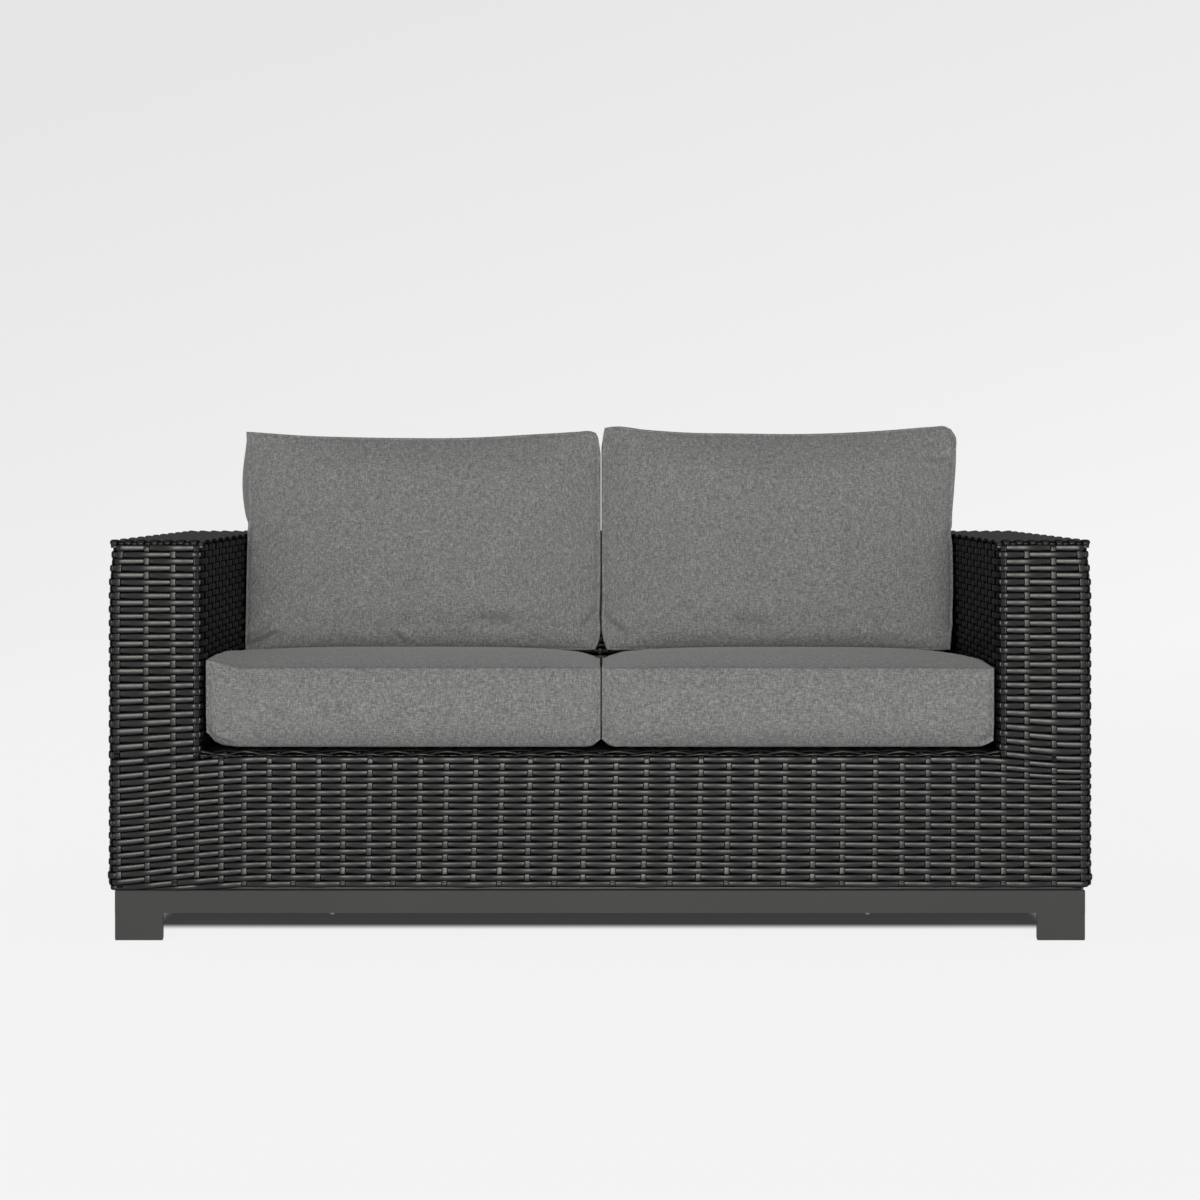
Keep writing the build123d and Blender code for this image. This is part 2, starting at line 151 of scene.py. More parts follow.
# %% [markdown]
# ## Paths with rounded corners
# A weaver turns every corner of the body without a break, and a stake climbs one face, bends over
# the top and goes down the other. A curve object could carry either, but it doesn't say which side
# is outside. So both are an outline of straight runs with small arcs between them. It lies in the
# middle of the weave, half its thickness inside the solid's face, and what is to the right of its
# direction is outside.


# %% Round an outline and ask it for places
class Outline:
    """Straight runs with arcs between them, in the middle of the weave."""

    def __init__(self, corners, radius, closed, inset=weave_half):
        corners = np.array(corners, float)
        count = len(corners)
        edges = count if closed else count - 1
        heads = np.array([corners[(e + 1) % count] - corners[e] for e in range(edges)])
        heads /= np.linalg.norm(heads, axis=1)[:, None]
        rights = np.stack([heads[:, 1], -heads[:, 0]], 1)
        points, run, self.edge_run, self.cuts = [], 0.0, [], []
        arc_angles = np.linspace(0, math.pi / 2, 9)

        def turned(e):
            """The arc round the corner at the start of edge e."""
            before, after = heads[e - 1], heads[e]
            corner = corners[e % count] - inset * (rights[e - 1] + rights[e])
            centre = corner - radius * before + radius * after
            return [centre + radius * (math.sin(a) * before - math.cos(a) * after) for a in arc_angles]

        for e in range(edges):
            start = turned(e) if closed or e > 0 else [corners[0] - inset * rights[0]]
            half = len(start) // 2
            if e == 0:
                start = start[half:]
                half = 0
            for index, place in enumerate(start):
                if points:
                    run += float(np.linalg.norm(place - points[-1][0]))
                if index == half:
                    self.cuts.append(run)
                points.append((place, run))
            offset = float((points[-1][0] - corners[e]) @ heads[e])
            self.edge_run.append(run - offset)
        finish = turned(0)[: len(arc_angles) // 2 + 1] if closed else [corners[-1] - inset * rights[-1]]
        for place in finish:
            run += float(np.linalg.norm(place - points[-1][0]))
            points.append((place, run))
        self.cuts.append(run)
        self.length = run
        self.closed = closed
        self.places = np.array([p for p, _ in points])
        self.runs = np.array([r for _, r in points])

    def place_at(self, run):
        """Places at these runs, between the points that are kept."""
        return np.stack([np.interp(run, self.runs, self.places[:, i]) for i in (0, 1)], 1)

    def at(self, run):
        """Places and outward directions at these runs."""
        run = np.mod(run, self.length) if self.closed else np.clip(run, 0, self.length)
        step = 0.6 * mm
        ahead, behind = run + step, run - step
        if self.closed:
            ahead, behind = np.mod(ahead, self.length), np.mod(behind, self.length)
        else:
            ahead, behind = np.minimum(ahead, self.length), np.maximum(behind, 0)
        heading = self.place_at(ahead) - self.place_at(behind)
        heading /= np.maximum(np.linalg.norm(heading, axis=1)[:, None], 1e-9)
        return self.place_at(run), np.stack([heading[:, 1], -heading[:, 0]], 1)


def crimp_at(run, crossings, values):
    """Depth of a strand at these runs: it swings smoothly from one crossing's value to the next."""
    index = np.clip(np.searchsorted(crossings, run, side="right") - 1, 0, len(crossings) - 2)
    share = np.clip((run - crossings[index]) / (crossings[index + 1] - crossings[index]), 0, 1)
    ease = (1 - np.cos(math.pi * share)) / 2
    return values[index] + (values[index + 1] - values[index]) * ease


def with_steps(crossings, steps):
    """Every crossing and the places between neighbours, evenly spaced."""
    shares = np.arange(steps) / steps
    inner = crossings[:-1, None] + shares[None, :] * np.diff(crossings)[:, None]
    return np.append(inner.ravel(), crossings[-1])


# %% [markdown]
# ## Where the stakes stand
# Stakes are the upright strands. The photograph shows them about 41 mm apart near the arms and
# 48 mm apart in the middle of the apron, each a little out of true, as a hand sets them. One even
# spacing would be simpler, and would look machine-made. Behind and at the sides, which the
# photograph doesn't show, they do stand evenly, the first one close to the corner, where the
# outline shows every second row standing out. A number counts round the body, and whether it is
# odd or even decides which rows pass in front.

# %% Place the stakes along each face
arm_stakes = np.array([16.5, 59, 105, 143.5]) * mm
apron_stakes = (
    np.array(
        [
            -635, -596, -554, -513, -471, -429, -385, -343, -300, -256, -207, -163, -116, -70, -22,
            28, 79, 123, 170, 217, 263, 311, 359, 408, 462, 507, 550, 593, 633,
        ]
    )
    * mm
)
side_first, side_step = 12 * mm, 42.8 * mm
side_stakes = side_first + side_step * np.arange(21)
inner_side_stakes = side_stakes[1:17]
back_step = 44.9 * mm
back_inner_x = back_step * np.arange(-14, 15)
left_arm_x = -side_x + arm_stakes
front_x = np.concatenate([left_arm_x, apron_stakes, -left_arm_x[::-1]])
back_x = np.concatenate([left_arm_x, back_inner_x, -left_arm_x[::-1]])[::-1]
corner_turn = 13 * mm
low_corners = [(-side_x, front_y), (side_x, front_y), (side_x, back_y), (-side_x, back_y)]
low_loop = Outline(low_corners, corner_turn, True)
low_faces = [
    ("front", front_x + side_x),
    ("arm_outer_weave_right", side_stakes),
    ("back_outer_weave", side_x - back_x),
    ("arm_outer_weave_left", side_stakes),
]
high_loop = Outline(
    [
        (-side_x, front_y), (-arm_x, front_y), (-arm_x, inner_y), (arm_x, inner_y),
        (arm_x, front_y), (side_x, front_y), (side_x, back_y), (-side_x, back_y),
    ],
    corner_turn,
    True,
)
high_faces = [
    ("arm_front_weave_left", arm_stakes),
    ("arm_inner_weave_left", inner_side_stakes),
    ("back_inner_weave", back_inner_x + arm_x),
    ("arm_inner_weave_right", (inner_y - front_y) - inner_side_stakes[::-1]),
    ("arm_front_weave_right", (side_x - arm_x) - arm_stakes[::-1]),
    ("arm_outer_weave_right", side_stakes),
    ("back_outer_weave", side_x - back_x),
    ("arm_outer_weave_left", side_stakes),
]
print("stakes on the low rows", sum(len(s) for _, s in low_faces), "high", sum(len(s) for _, s in high_faces))

# %% [markdown]
# ## How high each row lies
# The rows aren't level everywhere. At the lower left corner of the photograph they climb to the
# right by about two rows, and short rows taper away at the foot to make up for it. On the right
# arm a band of rows falls towards the corner. Drawing each row by hand would take a line for every
# one. Instead a drift is taken from a level height, and each row's width follows the distance to
# its neighbours, so the rows always touch.

# %% Work out the height of a row
low_row, low_pitch, apron_rows = 95.5 * mm, 10.93 * mm, 20
high_row, row_count = 658.4 * mm, 51
climb_height, climb_reach = 21 * mm, 0.25
fall_height, fall_reach = 9 * mm, (0.03, 0.2)
apron_top_row = low_row + low_pitch * (apron_rows - 1)
high_pitch = (high_row - apron_top_row) / (row_count - apron_rows)


def ease(low, high, value):
    """0 at low and 1 at high, with soft ends."""
    share = np.clip((value - low) / (high - low), 0, 1)
    return share * share * (3 - 2 * share)


def row_height(row, x, y):
    """Height of a row at these plan places, before its own small waver."""
    above = row - (apron_rows - 1)
    level = apron_top_row + above * (high_pitch if above > 0 else low_pitch)
    from_left = np.clip((side_x + x) + (y - front_y), 0, None)
    from_right = np.clip((side_x - x) + (y - front_y), 0, None)
    left_share = np.clip(1 - from_left / climb_reach, 0, 1) ** 1.4
    right_share = 1 - ease(*fall_reach, from_right)
    left_drop = climb_height * left_share * ease(0.48, 0.26, level)
    right_drop = fall_height * right_share * ease(0.42, 0.34, level) * ease(0.245, 0.30, level)
    return level - left_drop - right_drop


row_fill = 0.55
wavers = ((0.45 * mm, 0.047), (0.35 * mm, 0.13))
waver_phase = rng.random((row_count + 3, 2)) * 2 * math.pi


def row_middle(row, x, y, run):
    """Height of a row with its own small waver."""
    phases = waver_phase[row + 1]
    waver = sum(size * np.sin(run / length + phase) for (size, length), phase in zip(wavers, phases))
    return row_height(row, x, y) + waver


def row_place(row, x, y, run):
    """Height and half width of a row, which fills the space between its neighbours."""
    below, height, above = [row_middle(row + step, x, y, run) for step in (-1, 0, 1)]
    lap = (2 * row_fill - 1) * (above - below) / 4
    top = np.maximum((height + above) / 2 + lap, base_z + 0.6 * mm)
    foot = np.minimum(np.maximum((height + below) / 2 - lap, base_z), top - 0.5 * mm)
    return (top + foot) / 2, (top - foot) / 2


print("row pitch in mm, low and high", round(low_pitch / mm, 2), round(high_pitch / mm, 2))

# %% [markdown]
# ## Weave the rows
# In a plain weave a row passes in front of one stake and behind the next, and the row above does
# the opposite. A picture of a weave on a flat wall would look right from one side only, so every
# strand is a real one here. Each crossing is a depth, and the strand swings between them. A loop
# of rows is cut at the middle of each corner only to share it out to the faces, so it looks
# unbroken.


# %% Weave rows round a loop
def stake_lean(edge_name, place_along, height):
    """How far a stake stands out of true at this height, along its face."""
    if edge_name != "front":
        return 0.8 * mm * math.sin(place_along * 41) * (height - deck_z) / 0.3
    share = (deck_z - height) / (deck_z - base_z)
    middle = math.exp(-(((place_along - side_x) / 0.42) ** 2))
    edge = math.exp(-((place_along / 0.16) ** 2))
    return (4 * mm * edge - 7.5 * mm * middle) * np.clip(share, -0.4, 1.05)


def loop_crossings(loop, faces, row):
    """Runs of all the stakes on a loop at the height of one row, with the row's depth at each."""
    runs, level = [], row_height(row, 0.0, 0.0)
    for edge, (name, along) in enumerate(faces):
        for place in along:
            runs.append(loop.edge_run[edge] + place + stake_lean(name, place, level))
    sign = np.where((np.arange(len(runs)) + row) % 2 == 0, 1.0, -1.0)
    runs, depth = np.array(runs), sign * weaver_crimp
    runs = np.concatenate([[runs[-1] - loop.length], runs, [runs[0] + loop.length]])
    return runs, np.concatenate([[depth[-1]], depth, [depth[0]]])


def under_border(height):
    """Stakes of the apron lean in where they go under the border, which turns them to the light."""
    return -0.14 * np.clip(height - (deck_z - 21 * mm), 0, 14 * mm)


def belly(height):
    """The skin swells a little above the plinth and tucks in over it."""
    swell = 1.6 * mm * np.exp(-(((height - 104 * mm) / (13 * mm)) ** 2))
    return swell - 7 * mm * ease(94 * mm, 84 * mm, height)


swell_out = (6 * mm, 3.5 * mm)


def swelled(plan, height):
    """Moves outer faces out: the strand stands proud of the frame everywhere below the top edge."""
    outs = []
    for place, wall, most in zip(plan.T, (side_x, back_y), swell_out):
        outs.append(most * ease(wall - 0.045, wall - 0.02, np.abs(place)) * np.sign(place))
    share = ease(cap_z - 0.004, cap_z - 0.09, height) ** 0.7
    return plan + np.column_stack(outs) * share[:, None]


def weave_rows(loop, faces, rows):
    """Lays one strand for each row and face."""
    for row in rows:
        crossings, depths = loop_crossings(loop, faces, row)
        runs = with_steps(crossings, 7)
        turns = np.concatenate([np.linspace(c - 12 * mm, c + 12 * mm, 9) for c in loop.cuts])
        runs = np.unique(np.round(np.concatenate([runs, turns]), 6))
        plan, outward = loop.at(runs)
        height, half = row_place(row, plan[:, 0], plan[:, 1], runs)
        depth = crimp_at(runs, crossings, depths) + belly(height)
        depth = depth - 3 * mm * ease(2.2 * mm, 0.8 * mm, half)
        flat = np.zeros(len(runs))
        places = np.column_stack([swelled(plan, height) + outward * depth[:, None], height])
        normals = np.column_stack([outward, flat])
        across = np.column_stack([flat, flat, flat + 1])
        rings = sweep_strand(places, normals, across, half, weaver_thick)
        for edge, (name, _) in enumerate(faces):
            chosen = (runs >= loop.cuts[edge] - 1e-6) & (runs <= loop.cuts[edge + 1] + 1e-6)
            lay_strand(name, rings[chosen], runs[chosen])


weave_rows(low_loop, low_faces, range(apron_rows))
weave_rows(high_loop, high_faces, range(apron_rows, row_count))
print("faces woven", {name: len(strands) for name, strands in walls.items()})

# %% [markdown]
# ## Set the stakes
# A stake is the same strand standing up. A straight strip would do from far away, but close by it
# gives way a little wherever a row presses on it, so the part that shows between two rows is
# domed. On the arms and the back it bends over the top edge and runs across the cap, so the top is
# woven on the same strands as the sides.


# %% Draw the section that a stake follows
def row_crossings(loop, faces, edge, number, rows):
    """Heights and stake depths at one stake's crossings with these rows."""
    name, along = faces[edge]
    index = sum(len(s) for _, s in faces[:edge]) + number
    heights, depths, plans, outs = [], [], [], []
    for row in rows:
        level = row_height(row, 0.0, 0.0)
        run = np.array([loop.edge_run[edge] + along[number] + stake_lean(name, along[number], level)])
        plan, outward = loop.at(run)
        height, _ = row_place(row, plan[:, 0], plan[:, 1], run)
        if heights and height[0] - heights[-1] < 3 * mm:
            continue
        heights.append(height[0])
        depths.append(-stake_crimp if (index + row) % 2 == 0 else stake_crimp)
        plans.append(plan[0])
        outs.append(outward[0])
    return np.array(heights), np.array(depths), np.array(plans), np.array(outs)


def stand_stakes(loop, faces, edge, rows, low, high):
    """The upright part of every stake on one face."""
    name, along = faces[edge]
    for number in range(len(along)):
        heights, depths, plans, outs = row_crossings(loop, faces, edge, number, rows)
        heights[0] = max(heights[0], low + 4 * mm)
        levels = np.concatenate([[low], with_steps(heights, 2), [high]])
        depth = crimp_at(levels, heights, depths) + belly(levels)
        if edge == 0 and loop is low_loop:
            depth = depth + under_border(levels)
        plan = np.stack([np.interp(levels, heights, plans[:, i]) for i in (0, 1)], 1)
        outward = np.stack([np.interp(levels, heights, outs[:, i]) for i in (0, 1)], 1)
        outward /= np.linalg.norm(outward, axis=1)[:, None]
        flat = np.zeros(len(levels))
        normals = np.column_stack([outward, flat])
        places = np.column_stack([swelled(plan, levels) + outward * depth[:, None], levels])
        across = np.column_stack([-outward[:, 1], outward[:, 0], flat])
        rings = sweep_strand(places, normals, across, flat + stake_half, stake_thick, stake_ring)
        lay_strand(name, rings, levels)


# %% Stand the stakes
edge_turn = 6 * mm
wall_top = cap_z - weave_half - edge_turn
apron_stake_top = deck_z - 9 * mm
stake_foot = base_z + 9 * mm
rows_meet = apron_top_row + low_pitch / 2
for edge in range(1, 4):
    stand_stakes(low_loop, low_faces, edge, range(apron_rows), stake_foot, rows_meet)
stand_stakes(low_loop, low_faces, 0, range(apron_rows), stake_foot, apron_stake_top)
for edge in range(len(high_faces)):
    stand_stakes(high_loop, high_faces, edge, range(apron_rows, row_count), rows_meet, wall_top)
print("rows and stakes", sum(len(strands) for strands in walls.values()))

# %% [markdown]
# ## Cap the arms and the back
# The caps are woven on the stakes that come up over the edges. A lid laid on top would show a
# joint all round, and the real one has none. Along an arm the weavers bend over its front edge and
# tuck in behind the first row, where every second one shows as a bead, as in the photograph.

# %% Bend the stakes over the caps
cap_count = 14


def cap_stakes(wall, from_side, to_side, places, make_point, end_drop, tilt):
    """Stakes that cross a cap, with both their bends, and the crimp of the cap's weavers."""
    section = Outline(
        [(from_side, cap_z - end_drop), (from_side, cap_z), (to_side, cap_z), (to_side, cap_z - end_drop)],
        edge_turn,
        False,
    )
    width = abs(to_side - from_side)
    start = section.edge_run[1]
    crossings = start + (np.arange(cap_count) + 0.5) * width / cap_count
    for number, place in enumerate(places):
        signs = np.where((np.arange(cap_count) + number) % 2 == 0, -1.0, 1.0) * stake_crimp
        knots = np.concatenate([[0], crossings, [section.length]])
        values = np.concatenate([[0], signs, [0]])
        bends = np.concatenate([np.linspace(c - 6 * mm, c + 6 * mm, 6) for c in section.cuts[1:-1]])
        runs = np.unique(np.concatenate([[0, section.length], crossings, bends]))
        flat_place, outward = section.at(runs)
        flat_place = flat_place + outward * crimp_at(runs, knots, values)[:, None]
        points = np.array([make_point(a, b, place) for a, b in flat_place])
        normals = np.array([make_point(a, b, 0.0) for a, b in outward])
        across = np.tile(np.array(tilt, float), (len(runs), 1))
        half = np.full(len(runs), stake_half)
        lay_strand(wall, sweep_strand(points, normals, across, half, stake_thick), runs)


def across_arm(x, z, y):
    """A place on a stake that crosses an arm's cap."""
    return x, y, z


def across_back(y, z, x):
    """A place on a stake that crosses the back's cap."""
    return x, y, z


arm_cap_places = side_stakes + front_y
cap_ends = arm_cap_places[[0, -1]]
full_drop, end_drop, end_inset = edge_turn + weave_half, 3 * mm, 5 * mm
for wall, from_x, to_x in (("arm_top_weave_left", -arm_x, -side_x), ("arm_top_weave_right", side_x, arm_x)):
    cap_stakes(wall, from_x, to_x, arm_cap_places[1:-1], across_arm, full_drop, (0, 1, 0))
    cap_stakes(wall, from_x - end_inset, to_x + end_inset, cap_ends, across_arm, end_drop, (0, 1, 0))
cap_stakes("back_top_weave", back_y, inner_y, back_inner_x, across_back, full_drop, (1, 0, 0))
print("stakes over the back", len(back_inner_x), "over each arm", len(arm_cap_places))

# %% Weave the caps
tuck_depth = 14 * mm
arm_section = Outline(
    [(back_y, cap_z - tuck_depth), (back_y, cap_z), (front_y, cap_z), (front_y, cap_z - tuck_depth)],
    edge_turn,
    False,
)
arm_cap_runs = arm_section.edge_run[1] + back_y - arm_cap_places[::-1]
bead_half = 7.8 * mm


def arm_cap_weavers(wall, low_x, high_x):
    """Weavers along one arm's cap, front end and back end tucked behind the first row."""
    pitch = (high_x - low_x) / cap_count
    for number in range(cap_count):
        x = low_x + (number + 0.5) * pitch
        outer_number = number if low_x < 0 else cap_count - 1 - number
        count = len(arm_cap_runs)
        sign = np.where((np.arange(count)[::-1] + outer_number) % 2 == 0, 1.0, -1.0)
        in_front = sign[-1] > 0
        tuck, lip = -2.6 * mm, (0.9 if in_front else -0.4) * mm
        length = arm_section.length
        end_runs = np.array([0, 3, 7]) * mm
        crossings = np.concatenate([end_runs, arm_cap_runs, length - end_runs[::-1]])
        values = np.concatenate([[tuck, tuck, lip], sign * weaver_crimp, [lip, tuck, tuck]])
        runs = np.unique(np.concatenate([with_steps(crossings, 6), length - np.arange(1, 24) * mm]))
        place, outward = arm_section.at(runs)
        place = place + outward * crimp_at(runs, crossings, values)[:, None]
        drift = 0.5 * mm * np.sin(runs / 0.08 + number * 1.7)
        points = np.column_stack([x + drift, place])
        normals = np.column_stack([np.zeros(len(runs)), outward])
        across = np.tile((1.0, 0, 0), (len(runs), 1))
        half = np.full(len(runs), row_fill * pitch)
        if in_front:
            from_front = length - runs
            spread = ease(6.5 * mm, 10 * mm, from_front) * ease(24 * mm, 17 * mm, from_front)
            half = half + (bead_half - half) * spread
        lay_strand(wall, sweep_strand(points, normals, across, half, weaver_thick), runs)


def flat_weavers(wall, rows_y, crossing_x, height, half, steps, end_dip):
    """Weavers along X on a level face, from side to side."""
    for number, y in enumerate(rows_y):
        sign = np.where((np.arange(len(crossing_x)) + number) % 2 == 0, 1.0, -1.0)
        low_x, high_x = crossing_x[0] - back_step * 0.9, crossing_x[-1] + back_step * 0.9
        crossings = np.concatenate([[low_x], crossing_x, [high_x]])
        values = np.concatenate([[end_dip], sign * weaver_crimp, [end_dip]])
        runs = with_steps(crossings, steps)
        depth = crimp_at(runs, crossings, values)
        drift = 0.5 * mm * np.sin(runs / 0.09 + number * 2.1)
        flat = np.zeros(len(runs))
        points = np.column_stack([runs, y + drift, height + depth])
        normals = np.column_stack([flat, flat, flat + 1])
        across = np.column_stack([flat, flat + 1, flat])
        rings = sweep_strand(points, normals, across, flat + half, weaver_thick)
        lay_strand(wall, rings[:, ::-1], runs)


arm_cap_weavers("arm_top_weave_left", -side_x, -arm_x)
arm_cap_weavers("arm_top_weave_right", arm_x, side_x)
back_pitch = (back_y - inner_y) / cap_count
back_rows_y = inner_y + (np.arange(cap_count) + 0.5) * back_pitch
back_half, end_dip = row_fill * back_pitch, -3 * mm
flat_weavers("back_top_weave", back_rows_y, back_inner_x, cap_z - weave_half, back_half, 6, end_dip)
print("cap strands", len(walls["arm_top_weave_left"]), len(walls["back_top_weave"]))

# %% [markdown]
# ## The deck under the seats
# The seat cushions lie on a woven deck. It shows when they are taken off, so it is woven too, with
# fewer steps along each strand because nobody sees it close.

# %% Weave the deck
deck_middle = deck_z - weave_half
deck_rows = 63
deck_pitch = (inner_y - front_y - 14 * mm) / deck_rows
deck_y = front_y + 12 * mm + (np.arange(deck_rows) + 0.5) * deck_pitch
flat_weavers("seat_deck_weave", deck_y, back_inner_x, deck_middle, row_fill * deck_pitch, 4, end_dip)
for number, x in enumerate(back_inner_x):
    signs = np.where((np.arange(deck_rows) + number) % 2 == 0, -1.0, 1.0) * stake_crimp
    runs = np.concatenate([[front_y + 6 * mm], deck_y, [inner_y - 1 * mm]])
    values = np.concatenate([[0], signs, [0]])
    flat = np.zeros(len(runs))
    points = np.column_stack([flat + x, runs, deck_middle + values])
    normals = np.column_stack([flat, flat, flat + 1])
    across = np.column_stack([flat + 1, flat, flat])
    rings = sweep_strand(points, normals, across, flat + stake_half, stake_thick)
    lay_strand("seat_deck_weave", rings, runs)
print("deck strands", len(walls["seat_deck_weave"]))

# %% [markdown]
# ## The border of the apron
# Along the top of the apron two strands twist past each other: one peaks over every second stake,
# the other over the stakes between, a little lower and further forward. Behind each peak the other
# strand dives. A rope turned round a line would have even turns, and these follow the stakes
# instead. A last strand fills the groove above the plinth, where the stakes are folded in.

# %% Twist the border
border_x = np.concatenate([[-arm_x - 6 * mm], apron_stakes, [arm_x + 6 * mm]])
border_count = len(border_x)
border_signs = np.where(np.arange(border_count) % 2 == 0, 1.0, -1.0)
border_half, border_thick, border_lift = 2.4 * mm, 3.2 * mm, 0.35
for peak, crest_z, crest_y, dip_z, dip_y in (
    (1.0, 316.9 * mm, front_y + 5.0 * mm, 309.8 * mm, front_y + 11.0 * mm),
    (-1.0, 312.6 * mm, front_y + 2.4 * mm, 306.3 * mm, front_y + 9.0 * mm),
):
    runs = with_steps(border_x, 8)
    high = (crimp_at(runs, border_x, border_signs * peak) + 1) / 2
    flat = np.zeros(len(runs))
    points = np.column_stack([runs, dip_y + (crest_y - dip_y) * high, dip_z + (crest_z - dip_z) * high])
    lift = border_lift + flat
    normals = np.column_stack([flat, -np.sqrt(1 - lift**2), lift])
    across = np.column_stack([flat, lift, np.sqrt(1 - lift**2)])
    lay_strand("front", sweep_strand(points, normals, across, flat + border_half, border_thick), runs)
print("crossings of the border", border_count)

# %% Fill the groove over the plinth
groove_step, groove_half = 12 * mm, 3.2 * mm
groove_runs = np.append(np.arange(0, low_loop.length, groove_step), low_loop.length)
plan, outward = low_loop.at(groove_runs)
flat = np.zeros(len(groove_runs))
groove_places = np.column_stack([plan - outward * 4.2 * mm, flat + base_z + groove_half])
normals = np.column_stack([outward, flat])
across = np.column_stack([flat, flat, flat + 1])
groove_rings = sweep_strand(groove_places, normals, across, flat + groove_half, weaver_thick)
for edge, (name, _) in enumerate(low_faces):
    start, stop = low_loop.cuts[edge] - groove_step, low_loop.cuts[edge + 1] + groove_step
    chosen = (groove_runs >= start) & (groove_runs <= stop)
    lay_strand(name, groove_rings[chosen], groove_runs[chosen])
print("groove strand", round(low_loop.length, 3), "m round the body")

# %% [markdown]
# ## The resin strand's finish
# The strand is charcoal resin with a semi-gloss skin. Extrusion leaves faint streaks along it, and
# no two lengths have quite the same tone. Noise in the room's own space would cut straight through
# a corner. So the streaks follow the strand's own run, which is kept on the mesh, and turn every
# corner with it. Its fine grain scatters light at a shallow glance, so the shine is weakened there
# and in the grooves between strands, and once more on top, where weather has dulled the caps. The
# colour also darkens towards each strand's edges, which is painted shade in the grooves.


# %% Start a material and its nodes
def new_finish(name, color, roughness):
    """A principled material, with its node tree ready for more."""
    material = bpy.data.materials.new(name)
    material.use_nodes = True
    tree = material.node_tree
    shader = tree.nodes["Principled BSDF"]
    shader.inputs["Base Color"].default_value = (*color, 1)
    shader.inputs["Roughness"].default_value = roughness
    return material, tree, shader


def add_node(tree, kind, **settings):
    """A node with its inputs and properties set by name."""
    node = tree.nodes.new(kind)
    for key, value in settings.items():
        if key in node.inputs:
            node.inputs[key].default_value = value
        else:
            setattr(node, key, value)
    return node


def gray(value):
    """The linear value of a neutral screen colour from 0 to 255."""
    share = value / 255
    return share / 12.92 if share <= 0.04045 else ((share + 0.055) / 1.055) ** 2.4


def ramp(tree, source, stops):
    """A colour ramp driven by a socket; stops are pairs of place and colour."""
    node = tree.nodes.new("ShaderNodeValToRGB")
    tree.links.new(source, node.inputs["Fac"])
    elements = node.color_ramp.elements
    while len(elements) < len(stops):
        elements.new(0.5)
    for element, (place, color) in zip(elements, stops):
        element.position = place
        element.color = (*color, 1)
    return node.outputs["Color"]


# %% Wire nodes together
def fed(tree, node, *values):
    """The node, with its first inputs linked to sockets or set to numbers, in order."""
    for socket, value in zip(node.inputs, values):
        if isinstance(value, bpy.types.NodeSocket):
            tree.links.new(value, socket)
        elif value is not None:
            socket.default_value = value
    return node


def compute(tree, operation, *values, kind="ShaderNodeMath"):
    """The result of a math node."""
    return fed(tree, add_node(tree, kind, operation=operation), *values).outputs[0]


def remap(tree, value, from_range, to_range, **settings):
    """A value carried from one range to another."""
    node = add_node(tree, "ShaderNodeMapRange", **settings)
    tree.links.new(value, node.inputs["Value"])
    for name, limit in zip(("From Min", "From Max", "To Min", "To Max"), (*from_range, *to_range)):
        node.inputs[name].default_value = limit
    return node.outputs[0]


def raise_grain(tree, shader, height, strength, distance):
    """Lets a pattern raise the surface a little."""
    bump = add_node(tree, "ShaderNodeBump", Strength=strength, Distance=distance)
    tree.links.new(height, bump.inputs["Height"])
    tree.links.new(bump.outputs[0], shader.inputs["Normal"])


def mixed(tree, share, first, second):
    """Two shaders mixed by a share."""
    return fed(tree, add_node(tree, "ShaderNodeMixShader"), share, first, second).outputs[0]


def seen_rays(tree):
    """1 for rays from the camera, mirrored ones and ones through glass, else 0."""
    path = add_node(tree, "ShaderNodeLightPath")
    seen_by = path.outputs["Is Camera Ray"]
    for ray in ("Is Glossy Ray", "Is Transmission Ray"):
        seen_by = compute(tree, "MAXIMUM", seen_by, path.outputs[ray])
    return seen_by


# %% Make the strand's finish
strand_tones = [
    (0.3, (0.0041, 0.0041, 0.0053)), (0.55, (0.0076, 0.0076, 0.0095)), (0.78, (0.0165, 0.0165, 0.0192)),
]
streak_scales = (("strand_run", 22.0, "X"), ("strand_side", 2.4, "Y"), ("strand_tone", 57.0, "Z"))
# Painted shade: the base colour darkens towards a strand's edges, in the grooves between strands.
groove_painted_shade = [(0.55, (1, 1, 1)), (0.88, (0.08, 0.08, 0.08))]
edge_gloss = [(0.52, (1, 1, 1)), (0.86, (0.05, 0.05, 0.05))]
glance_gloss = [(0.25, (0.31,) * 3), (0.55, (0.033,) * 3), (0.86, (0.037,) * 3), (0.95, (0.0,) * 3)]
top_gloss = [(0.55, (1, 1, 1)), (0.9, (0.14, 0.14, 0.14))]


